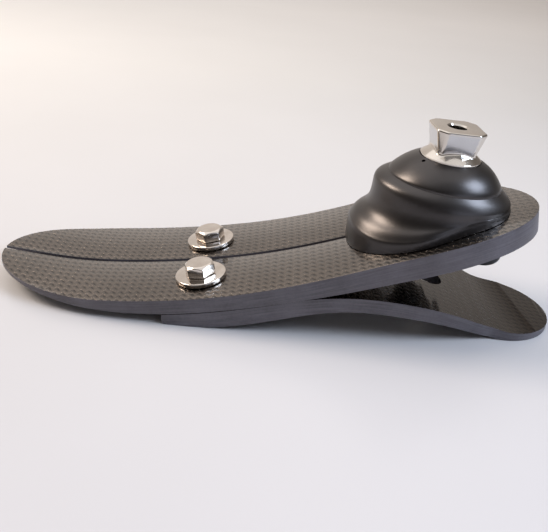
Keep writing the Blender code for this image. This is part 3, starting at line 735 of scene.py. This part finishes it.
keel_cloth = weave_material(
    "carbon_weave", bright=(0.145, 0.120, 0.102), dark=(0.006, 0.004, 0.003), relief=0.00022,
    gloss_relief=0.000008,
)
heel_cloth = weave_material(
    "carbon_gloss", bright=(0.042, 0.031, 0.024), dark=(0.002, 0.001, 0.001), relief=0.00004,
    gloss_relief=0.0, sheen=heel_sheen,
)
cut_edge = cut_edge_material()
nickel = metal_material(
    "bright_nickel", dark=(0.66, 0.60, 0.55), bright=(0.82, 0.77, 0.72), rough=0.15, grain=0.000012,
)
# The steel's warm tint is partly its own colour and partly a painted reflection of the brown carbon
# around it.
steel = metal_material(
    "polished_steel", dark=(0.62, 0.575, 0.52), bright=(0.70, 0.655, 0.605), rough=0.11,
    grain=0.000004,
)
satin_steel = metal_material(
    "satin_flats", dark=(0.54, 0.54, 0.55), bright=(0.64, 0.64, 0.65), rough=0.20, grain=0.000012,
)
turned_steel = metal_material(
    "turned_steel", dark=(0.40, 0.39, 0.37), bright=(0.50, 0.49, 0.47), rough=0.32, grain=0.00001,
)
anodised = black_finish(
    "black_anodised", colour=(0.080, 0.075, 0.075), rough=0.33, grain=0.00002, scale=1500,
    metallic=1.0,
)
black_steel = black_finish(
    "black_steel", colour=(0.018, 0.018, 0.020), rough=0.34, grain=0.000015, scale=900,
    metallic=0.6,
)


# Leaves

def stations(start, end, count, round_start):
    """Places along a leaf, closer together towards its rounded end, or towards both."""
    if round_start:
        share = (1 - np.cos(np.linspace(END_ANGLE, np.pi - END_ANGLE, count))) / 2
    else:
        share = np.sin(np.linspace(0, np.pi / 2 - END_ANGLE, count))
    return start + (end - start) * share


def leaf_solid(name, section, places):
    rings = []
    for x in places:
        top, bottom, width = section(x)
        side = Vector((0, width, 0))
        rings.append((top - side, top + side, bottom + side, bottom - side))
    return new_object(name, loft(rings))


def surface_frame(x, y):
    """A frame on the keel's top face, with its Z axis square to the face."""
    point, slope = keel_surface(x)
    return Matrix.Translation(point + Vector((0, y, 0))) @ Matrix.Rotation(-slope, 4, "Y")


def lay_out(piece, top_height, cloth):
    """Gives a leaf its flat layout and its two finishes: cloth on its faces, plain on its edges."""
    mesh = piece.data
    xs = np.linspace(KEEL_TIP - LAYOUT_MARGIN, HEEL_TIP + LAYOUT_MARGIN, LAYOUT_SAMPLES)
    heights = np.array([top_height(x) for x in xs])
    arc = np.concatenate([[0], np.cumsum(np.hypot(np.diff(xs), np.diff(heights)))])
    layout = mesh.uv_layers.new(name=LAYOUT_NAME)
    dress(piece, cloth, cut_edge)
    for face in mesh.polygons:
        normal = normal_of(slope_of(top_height, face.center.x))
        flat = abs(face.normal.dot(normal)) > LAYOUT_FACE_COSINE
        face.material_index = 0 if flat else 1
        for loop in face.loop_indices:
            place = mesh.vertices[mesh.loops[loop].vertex_index].co
            along = float(np.interp(place.x, xs, arc))
            across = place.y if flat else place.z - top_height(place.x)
            layout.data[loop].uv = (along, across)


def keep_side(piece, name, origin, normal):
    """A closed copy of the part of a piece that lies on one side of a plane."""
    bm = bmesh.new()
    bm.from_mesh(piece.data)
    geometry = [*bm.verts, *bm.edges, *bm.faces]
    bmesh.ops.bisect_plane(
        bm, geom=geometry, plane_co=origin, plane_no=normal, clear_outer=True, dist=WELD,
    )
    open_edges = [edge for edge in bm.edges if edge.is_boundary]
    bmesh.ops.holes_fill(bm, edges=open_edges, sides=0)
    mesh = piece.data.copy()
    bm.to_mesh(mesh)
    bm.free()
    mesh.set_sharp_from_angle(angle=SHARP_ANGLE)
    part = bpy.data.objects.new(name, mesh)
    bpy.context.scene.collection.objects.link(part)
    return part


def crease_heel(heel):
    """Beyond a slanting crease near its tip, the heel leaf's top face falls away a little."""
    bm = bmesh.new()
    bm.from_mesh(heel.data)
    across = Vector((math.cos(HEEL_CREASE_TURN), math.sin(HEEL_CREASE_TURN), 0))
    origin = Vector((HEEL_CREASE_X, 0, 0))
    geometry = [*bm.verts, *bm.edges, *bm.faces]
    found = bmesh.ops.bisect_plane(bm, geom=geometry, plane_co=origin, plane_no=across, dist=WELD)
    for item in found["geom_cut"]:
        if isinstance(item, bmesh.types.BMEdge):
            item.smooth = False
    for point in bm.verts:
        beyond = (point.co - origin).dot(across)
        upper = point.co.z > heel_sole(point.co.x) + heel_thickness(point.co.x) / 2
        if beyond > 0 and upper:
            point.co.z -= beyond * HEEL_CREASE_FALL
    bm.to_mesh(heel.data)
    bm.free()


def build_keel():
    """The keel leaf, cut by its slot and its holes, then parted unseen under the bolts."""
    places = stations(KEEL_TIP, KEEL_TAIL, KEEL_STATIONS, True)
    whole = leaf_solid("keel_whole", keel_section, places)
    radius = SLOT_WIDTH / 2
    angles = np.linspace(-math.pi / 2, math.pi / 2, SLOT_END_POINTS)
    end = [(SLOT_END + radius * math.cos(a), radius * math.sin(a)) for a in angles]
    outline = [(KEEL_TIP - REACH, -radius), *end, (KEEL_TIP - REACH, radius)]
    slot = prism(outline, -2 * REACH, 2 * REACH)
    upright = Matrix.Rotation(math.pi / 2, 3, "X")
    bmesh.ops.rotate(slot, cent=(0, 0, 0), matrix=upright, verts=slot.verts)
    holes = [(slot, None)]
    for side in SIDES.values():
        hole = cylinder(BOLT_RADIUS + GAP, -REACH, REACH)
        holes.append((hole, surface_frame(BOLT_X, side * BOLT_Y)))
        hole = cylinder(REAR_SCREW_RADIUS + GAP, -REACH, REACH)
        holes.append((hole, surface_frame(REAR_SCREW_X, side * REAR_SCREW_Y)))
    holes.append((cylinder(CENTRE_BOLT_RADIUS + GAP, -PYRAMID_TOP[2], 0), pyramid_frame))
    cut(whole, "DIFFERENCE", *holes)
    round_edges(whole, EDGE_ROUND)
    lay_out(whole, keel_top, keel_cloth)
    seam = (BOLT_X, 0, 0)
    rear = keep_side(whole, "keel_leaf", seam, (-1, 0, 0))
    front = keep_side(whole, "toes", seam, (1, 0, 0))
    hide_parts("keel_rear", "keel_middle_left", "keel_middle_right")
    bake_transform(rear)
    for name, side in SIDES.items():
        toe = keep_side(front, f"toe_leaf_{name}", (0, 0, 0), (0, -side, 0))
        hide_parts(f"toe_{name}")
        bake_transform(toe)
    for helper in (whole, front):
        bpy.data.objects.remove(helper, do_unlink=True)


def build_heel():
    """The heel leaf, with the access hole and the two pockets for the threaded inserts."""
    turns = np.linspace(FIRST_ANGLE, np.pi / 2, HEEL_NOSE_STATIONS)
    nose = HEEL_FRONT + HEEL_NOSE_RADIUS * (1 - np.cos(turns))
    rest = stations(HEEL_FRONT + HEEL_NOSE_RADIUS, HEEL_TIP, HEEL_STATIONS, False)
    heel = leaf_solid("heel_leaf", heel_section, [*nose[:-1], *rest])
    place = Matrix.Translation((ACCESS_HOLE_X, 0, heel_sole(ACCESS_HOLE_X)))
    hole = cylinder(ACCESS_HOLE_RADIUS, -REACH / 2, REACH / 2, ROUND_SEGMENTS)
    tools = [(hole, place)]
    for side in SIDES.values():
        seat = surface_frame(BOLT_X, side * BOLT_Y)
        _, flange_top, insert_top = insert_levels(seat)
        pocket = turned((
            (INSERT_RADIUS + GAP, insert_top + GAP), (INSERT_RADIUS + GAP, flange_top + GAP),
            (INSERT_FLANGE_RADIUS + GAP, flange_top + GAP), (INSERT_FLANGE_RADIUS + GAP, -REACH),
        ))
        tools.append((pocket, seat))
        tools.append((cylinder(BOLT_RADIUS + GAP, -REACH / 2, REACH / 2), seat))
    cut(heel, "DIFFERENCE", *tools)
    round_edges(heel, EDGE_ROUND)
    lay_out(heel, lambda x: heel_sole(x) + heel_thickness(x), heel_cloth)
    crease_heel(heel)
    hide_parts("heel_clamp", "heel_blade")
    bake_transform(heel)


# Fasteners

def depth_below(place, height):
    """How far a frame's Z axis runs down from its origin to reach this height."""
    axis = place.to_3x3() @ Vector((0, 0, 1))
    return (place.translation.z - height) / axis.z


def insert_levels(seat):
    """Where a threaded insert's foot, the top of its flange and its top lie in the bolt's frame."""
    foot = -depth_below(seat, GAP) + INSERT_FLANGE_RADIUS * math.tan(keel_surface(BOLT_X)[1])
    return foot, foot + INSERT_FLANGE_THICKNESS, foot + INSERT_LENGTH


def add_piece(piece, body, node, slot, *materials):
    dress(piece, *materials)
    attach(piece, body)
    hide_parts(node)


def build_bolt(name, seat):
    under = WASHER_SEAT + WASHER_THICKNESS + GAP
    top = under + BOLT_HEAD_HEIGHT
    place = seat @ Matrix.Rotation(math.radians(BOLT_TURNS[name]), 4, "Z")
    head = cylinder(BOLT_FLATS / math.sqrt(3), under, top, HEX_SIDES)
    bolt = new_object(f"hex_bolt_{name}", head, place)
    crown = turned((
        (BOLT_FLATS * BOLT_CROWN_TOP, top),
        (BOLT_FLATS * BOLT_CROWN_RIM, top - BOLT_HEAD_HEIGHT * BOLT_CROWN_DROP),
        (BOLT_FLATS * BOLT_CROWN_RIM, under - BOLT_HEAD_HEIGHT),
    ))
    cut(bolt, "INTERSECT", (crown, place))
    round_edges(bolt, BOLT_EDGE, angle=BOLT_EDGE_ANGLE)
    shank = turned((
        (BOLT_RADIUS, under + BOLT_HEAD_HEIGHT / 2), (BOLT_RADIUS, BOLT_CHAMFER - BOLT_REACH),
        (BOLT_RADIUS - BOLT_CHAMFER, -BOLT_REACH),
    ))
    cut(bolt, "UNION", (shank, place))
    add_piece(bolt, "forefoot", f"bolt_{name}", "bolt_nickel", nickel)


def build_washer(name, body, node, slot, material, place, radius, hole, low, high):
    """A washer between two heights in its place's frame, with a hole of this radius."""
    corners = ((hole, low), (radius, low), (radius, high), (hole, high))
    washer = new_object(name, ring_solid(rounded_outline(corners, WASHER_EDGE)), place)
    add_piece(washer, body, node, slot, material)


def build_forefoot_fasteners():
    for name, side in SIDES.items():
        seat = surface_frame(BOLT_X, side * BOLT_Y)
        build_bolt(name, seat)
        build_washer(
            f"flat_washer_{name}", "forefoot", f"washer_{name}", "washer_nickel", nickel, seat,
            WASHER_RADIUS, BOLT_RADIUS + GAP, WASHER_SEAT, WASHER_SEAT + WASHER_THICKNESS,
        )
        foot, flange_top, insert_top = insert_levels(seat)
        inner = BOLT_RADIUS + GAP
        corners = (
            (inner, foot), (INSERT_FLANGE_RADIUS, foot), (INSERT_FLANGE_RADIUS, flange_top),
            (INSERT_RADIUS, flange_top), (INSERT_RADIUS, insert_top), (inner, insert_top),
        )
        outline = rounded_outline(corners, INSERT_EDGE)
        insert = new_object(f"flanged_insert_{name}", ring_solid(outline), seat)
        add_piece(insert, "forefoot", f"threaded_insert_{name}", "insert_steel", turned_steel)


def build_rear_screws():
    for name, side in SIDES.items():
        seat = surface_frame(REAR_SCREW_X, side * REAR_SCREW_Y)
        washer_top = -keel_thickness(REAR_SCREW_X) - REAR_WASHER_SEAT
        head_top = washer_top - REAR_WASHER_THICKNESS - GAP
        build_washer(
            f"plain_washer_{name}", "ankle", f"rear_washer_{name}", "black_steel", black_steel,
            seat, REAR_WASHER_RADIUS, REAR_SCREW_RADIUS + GAP,
            washer_top - REAR_WASHER_THICKNESS, washer_top,
        )
        rise = REAR_HEAD_HEIGHT - REAR_HEAD_EDGE
        spread = REAR_HEAD_RADIUS - REAR_HEAD_FLAT_RADIUS
        rim = head_top - REAR_HEAD_EDGE
        dome = [
            (REAR_HEAD_FLAT_RADIUS + spread * math.cos(a), rim - rise * math.sin(a))
            for a in np.linspace(0, math.pi / 2, REAR_DOME_POINTS)
        ]
        screw = new_object(f"button_screw_{name}", turned([
            (REAR_SCREW_RADIUS, REAR_SCREW_REACH), (REAR_SCREW_RADIUS, head_top),
            (REAR_HEAD_RADIUS, head_top), *dome,
        ]), seat)
        bottom = head_top - REAR_HEAD_HEIGHT
        socket_top = bottom + REAR_SOCKET_DEPTH
        socket = cylinder(REAR_SOCKET_RADIUS, bottom - REAR_HEAD_HEIGHT, socket_top, HEX_SIDES)
        cut(screw, "DIFFERENCE", (socket, seat))
        round_edges(screw, REAR_SCREW_EDGE, segments=2)
        add_piece(screw, "ankle", f"rear_screw_{name}", "black_steel", black_steel)


# Ankle housing

def housing_profile():
    """The sections at finer steps: curved through the given ones, but creased at one of them."""
    values = np.array(HOUSING_SECTIONS)
    halves = (values[:HOUSING_CREASE + 1], values[HOUSING_CREASE:])
    fine = []
    for k, half in enumerate(halves):
        count = len(half)
        steps = (count - 1) * HOUSING_STEPS + 1
        curves = [spline(list(enumerate(column))) for column in half.T]
        places = np.linspace(0, count - 1, steps)[1 if k else 0:]
        for place in places:
            fine.append([curve(place) for curve in curves] + [place + k * HOUSING_CREASE])
    return fine


def housing_ring(front_x, front_z, rear_x, rear_z, half_width, swing, index):
    """One section of the housing: a rounded oblong low down and an oval higher up."""
    pinch_from, pinch_to = HOUSING_PINCH
    narrower = min(HOUSING_RING_HALF_WIDTH - half_width, 0)
    blend = min(index / HOUSING_ROUND_FROM, 1)
    power = 2 / (HOUSING_BASE_POWER + (2 - HOUSING_BASE_POWER) * blend)
    ring = []
    for i in range(HOUSING_SEGMENTS):
        turn = 2 * math.pi * i / HOUSING_SEGMENTS
        along = math.copysign(abs(math.cos(turn)) ** power, math.cos(turn))
        across = math.copysign(abs(math.sin(turn)) ** power, math.sin(turn))
        share = (1 + along) / 2
        x = front_x + (rear_x - front_x) * share
        z = front_z + (rear_z - front_z) * share
        z += swing * across ** 2 * (share - HOUSING_SWING_FROM)
        rear = min(max((share - pinch_from) / (pinch_to - pinch_from), 0), 1)
        pinch = narrower * rear ** 2 * (3 - 2 * rear)
        ring.append((x, (half_width + pinch) * across, z))
    return ring


def above_keel(x, distance):
    """The point at a distance above the keel's top face."""
    point, slope = keel_surface(x)
    return point + normal_of(slope) * distance


def keel_cutter(points, z_end):
    """A cutter between a line of points along the keel and this height."""
    line = [(point.x, point.z) for point in points]
    return prism([(line[0][0], z_end), *line, (line[-1][0], z_end)], -REACH, REACH)


def build_housing():
    rings = [housing_ring(*section) for section in housing_profile()]
    housing = new_object("housing", loft(rings))
    places = np.linspace(KEEL_BED_START, KEEL_TAIL, KEEL_BED_STATIONS)
    bed = keel_cutter([above_keel(x, GAP) for x in places], -REACH)
    seat = -FLARE_DEPTH
    bore = turned((
        (FLARE_RADIUS + GAP, 0), (FLARE_RADIUS + GAP, seat - GAP),
        (SPIGOT_RADIUS + GAP, seat - GAP), (SPIGOT_RADIUS + GAP, -SPIGOT_DEPTH - GAP),
    ), SEAT_BORE_SEGMENTS)
    hole = cylinder(CENTRE_BOLT_RADIUS + GAP, -PYRAMID_TOP[2], BORE_OVERLAP - SPIGOT_DEPTH)
    grub_bottom = -GRUB_RECESS - GRUB_LENGTH
    grub_hole = cylinder(GRUB_RADIUS + GRUB_GAP, grub_bottom - GAP, GRUB_LENGTH, GRUB_SEGMENTS)
    tools = [(bed, None), (bore, pyramid_frame), (hole, pyramid_frame), (grub_hole, grub_frame)]
    for side in SIDES.values():
        hole = cylinder(REAR_SCREW_RADIUS + GAP, -REACH / 2, REAR_SCREW_REACH + GAP)
        tools.append((hole, surface_frame(REAR_SCREW_X, side * REAR_SCREW_Y)))
    cut(housing, "DIFFERENCE", *tools)
    add_piece(housing, "ankle", "ankle_housing", "black_anodised", anodised)
    grub = new_object("set_screw", turned((
        (GRUB_RADIUS - GRUB_CHAMFER, -GRUB_RECESS), (GRUB_RADIUS, -GRUB_RECESS - GRUB_CHAMFER),
        (GRUB_RADIUS, grub_bottom),
    ), GRUB_SEGMENTS), grub_frame)
    socket = cylinder(GRUB_SOCKET_RADIUS, -GRUB_RECESS - GRUB_SOCKET_DEPTH, 0, HEX_SIDES)
    cut(grub, "DIFFERENCE", (socket, grub_frame))
    add_piece(grub, "ankle", "grub_screw", "black_steel", black_steel)


# Pyramid adapter

pyramid_frame = (
    Matrix.Translation(PYRAMID_TOP) @ Matrix.Rotation(PYRAMID_LEAN, 4, "Y")
    @ Matrix.Rotation(PYRAMID_TURN, 4, "Z")
)
grub_frame = (
    Matrix.Translation(GRUB_MOUTH) @ Matrix.Rotation(GRUB_TURN, 4, "Z")
    @ Matrix.Rotation(GRUB_LEAN, 4, "Y")
)


def head_radius(turn, depth):
    """The pyramid's radius in a direction and at a depth, its edges softly buffed."""
    below = depth - SHOULDER_DEPTH
    half = SHOULDER_HALF - below * math.tan(PYRAMID_TAPER)
    corner = CORNER_SHOULDER_RADIUS - below * CORNER_TAPER
    flat = half / max(abs(math.cos(turn)), abs(math.sin(turn)))
    corner /= abs(math.cos((turn % (math.pi / 2)) - math.pi / 4))
    radius = (flat ** -EDGE_SOFTNESS + corner ** -EDGE_SOFTNESS) ** (-1 / EDGE_SOFTNESS)
    over = max(SHOULDER_DEPTH - depth, 0)
    return radius - SHOULDER_DEPTH + (SHOULDER_DEPTH ** 2 - over ** 2) ** 0.5


def flare_radius(depth):
    """The flare's radius at a depth: a cone below the neck that ends in an upright lip."""
    slope = (FLARE_RADIUS - NECK_RADIUS) / (FLARE_DEPTH - FLARE_LIP - NECK_DEPTH)
    cone = NECK_RADIUS + (depth - NECK_DEPTH) * slope
    return min(max(cone, LEAST_FLARE_RADIUS), FLARE_RADIUS)


def build_pyramid():
    angles = np.linspace(FIRST_ANGLE, math.pi / 2, SHOULDER_RINGS)
    depths = [SHOULDER_DEPTH * (1 - math.cos(a)) for a in angles]
    depths += list(np.linspace(SHOULDER_DEPTH, FLARE_DEPTH, PYRAMID_RINGS)[1:])
    turns = [2 * math.pi * (i + 0.5) / PYRAMID_SEGMENTS for i in range(PYRAMID_SEGMENTS)]
    rings = []
    for depth in depths:
        flare = flare_radius(depth)
        radii = [
            (head_radius(t, depth) ** NECK_SOFTNESS + flare ** NECK_SOFTNESS) ** (1 / NECK_SOFTNESS)
            for t in turns
        ]
        radii = [min(r, FLARE_RADIUS) for r in radii]
        rings.append([(r * math.cos(t), r * math.sin(t), -depth) for r, t in zip(radii, turns)])
    spigot = [(SPIGOT_RADIUS * math.cos(t), SPIGOT_RADIUS * math.sin(t)) for t in turns]
    rings += [[(x, y, -depth) for x, y in spigot] for depth in (FLARE_DEPTH, SPIGOT_DEPTH)]
    pyramid = new_object("pyramid", loft(rings), pyramid_frame)
    bore = turned((
        (PYRAMID_BORE_RADIUS + BORE_CHAMFER + BORE_OVERSHOOT, BORE_OVERSHOOT),
        (PYRAMID_BORE_RADIUS, -BORE_CHAMFER), (PYRAMID_BORE_RADIUS, -REACH),
    ))
    thread = cylinder(CENTRE_BOLT_RADIUS + GAP, -REACH, GAP - CENTRE_BOLT_TOP_DEPTH)
    cut(pyramid, "DIFFERENCE", (bore, pyramid_frame), (thread, pyramid_frame))
    add_piece(pyramid, "ankle", "pyramid_adapter", "polished_steel", steel, satin_steel)
    low, high = FLAT_RISE
    for face in pyramid.data.polygons:
        turn = math.atan2(face.normal.y, face.normal.x)
        square = abs(math.cos(2 * turn)) > FLAT_COSINE
        face.material_index = 1 if square and low < face.normal.z < high else 0


def build_centre_bolt():
    seat = -depth_below(pyramid_frame, CENTRE_SEAT_HEIGHT)
    bottom = seat - CENTRE_HEAD_HEIGHT
    inward, upward = CENTRE_HEAD_EDGE_MIDDLE
    bolt = new_object("cap_screw", turned((
        (CENTRE_BOLT_RADIUS - CENTRE_CHAMFER, -CENTRE_BOLT_TOP_DEPTH),
        (CENTRE_BOLT_RADIUS, -CENTRE_BOLT_TOP_DEPTH - CENTRE_CHAMFER),
        (CENTRE_BOLT_RADIUS, seat - GAP), (CENTRE_HEAD_RADIUS, seat - GAP),
        (CENTRE_HEAD_RADIUS, bottom + CENTRE_HEAD_EDGE),
        (CENTRE_HEAD_RADIUS - inward, bottom + upward),
        (CENTRE_HEAD_RADIUS - CENTRE_HEAD_EDGE, bottom),
    )), pyramid_frame)
    socket_top = bottom + CENTRE_SOCKET_DEPTH
    socket = cylinder(CENTRE_SOCKET_RADIUS, bottom - CENTRE_HEAD_HEIGHT, socket_top, HEX_SIDES)
    cut(bolt, "DIFFERENCE", (socket, pyramid_frame))
    add_piece(bolt, "ankle", "centre_bolt", "black_steel", black_steel)


def build_taper_washer():
    """The washer under the keel, its upper face cut to the leaf's underside."""
    seat = -depth_below(pyramid_frame, CENTRE_SEAT_HEIGHT)
    places = np.linspace(*TAPER_WASHER_BED, TAPER_WASHER_STATIONS)
    above = keel_cutter([above_keel(x, -keel_thickness(x) - GAP) for x in places], 2 * REACH)
    body = cylinder(TAPER_WASHER_RADIUS, seat, -SPIGOT_DEPTH, ROUND_SEGMENTS)
    washer = new_object("wedge_washer", body, pyramid_frame)
    hole = cylinder(CENTRE_BOLT_RADIUS + GAP, -PYRAMID_TOP[2], 0)
    cut(washer, "DIFFERENCE", (above, None), (hole, pyramid_frame))
    round_edges(washer, TAPER_WASHER_EDGE)
    add_piece(washer, "ankle", "taper_washer", "black_steel", black_steel)


# Studio

def add_floor():
    bpy.ops.mesh.primitive_grid_add(x_subdivisions=8, y_subdivisions=8, size=FLOOR_SIZE)
    floor = bpy.context.object
    floor.name = "floor"
    n = new_material("pale_floor")
    x, y, _ = n.split(n.place())
    # The floor's colour changes across it are painted light and shade.
    aside = n.span(x, *FLOOR_ASIDE_SPAN)
    far_left, far_right = FLOOR_FAR
    shaded = n.mix(n.span(y, *FLOOR_BEYOND_SPAN), far_right, FLOOR_BEYOND)
    far = n.mix(aside, far_left, shaded)
    near = n.mix(aside, *FLOOR_NEAR)
    mottle = n.spread(n.noise(n.place(), scale=6, detail=3.0), 0.985, 1.015)
    colour = n.shade(n.mix(n.span(y, *FLOOR_AHEAD_SPAN), near, far), mottle)
    dress(floor, n.set(Base_Color=colour, Roughness=FLOOR_ROUGHNESS, Specular_IOR_Level=0.5))


def add_light(name, place, target, size, power, colour):
    light = bpy.data.lights.new(name, "AREA")
    light.shape = "RECTANGLE"
    light.size, light.size_y = size
    light.energy = power
    light.color = colour
    lamp = bpy.data.objects.new(name, light)
    bpy.context.scene.collection.objects.link(lamp)
    lamp.location = place
    towards = Vector(target) - Vector(place)
    lamp.rotation_euler = towards.to_track_quat("-Z", "Y").to_euler()


def add_world():
    """A dim room with soft glows: overhead, behind on the left, and weaker behind on the right."""
    world = bpy.data.worlds.new("studio")
    bpy.context.scene.world = world
    n = Nodes(world, "Background")
    direction = n.tree.nodes.new("ShaderNodeTexCoord").outputs["Generated"]
    light = ROOM_LIGHT
    for heading, low, high, colour in GLOWS:
        dot = n.tree.nodes.new("ShaderNodeVectorMath")
        dot.operation = "DOT_PRODUCT"
        n.tree.links.new(direction, dot.inputs[0])
        dot.inputs[1].default_value = Vector(heading).normalized()
        share = n.span(dot.outputs["Value"], low, high, interpolation="SMOOTHSTEP")
        light = n.mix(share, light, scaled(colour), "ADD")
    n.set(Color=light, Strength=1.0)


def add_studio():
    add_world()
    for light in LIGHTS:
        add_light(*light)


def add_camera():
    camera = bpy.data.cameras.new("camera")
    camera.sensor_width = 36
    camera.lens = CAMERA_LENS
    camera.clip_start = 0.01
    holder = bpy.data.objects.new("camera", camera)
    bpy.context.scene.collection.objects.link(holder)
    holder.matrix_world = (
        Matrix.Translation(CAMERA_PLACE) @ Matrix.Rotation(math.radians(-CAMERA_HEADING), 4, "Z")
        @ Matrix.Rotation(math.radians(90 - CAMERA_PITCH), 4, "X")
        @ Matrix.Rotation(math.radians(CAMERA_ROLL), 4, "Z")
    )
    bpy.context.scene.camera = holder
    bpy.context.scene.view_settings.view_transform = "Standard"


build_keel()
build_heel()
build_forefoot_fasteners()
build_rear_screws()
build_housing()
build_pyramid()
build_centre_bolt()
build_taper_washer()
add_floor()
add_studio()
add_camera()
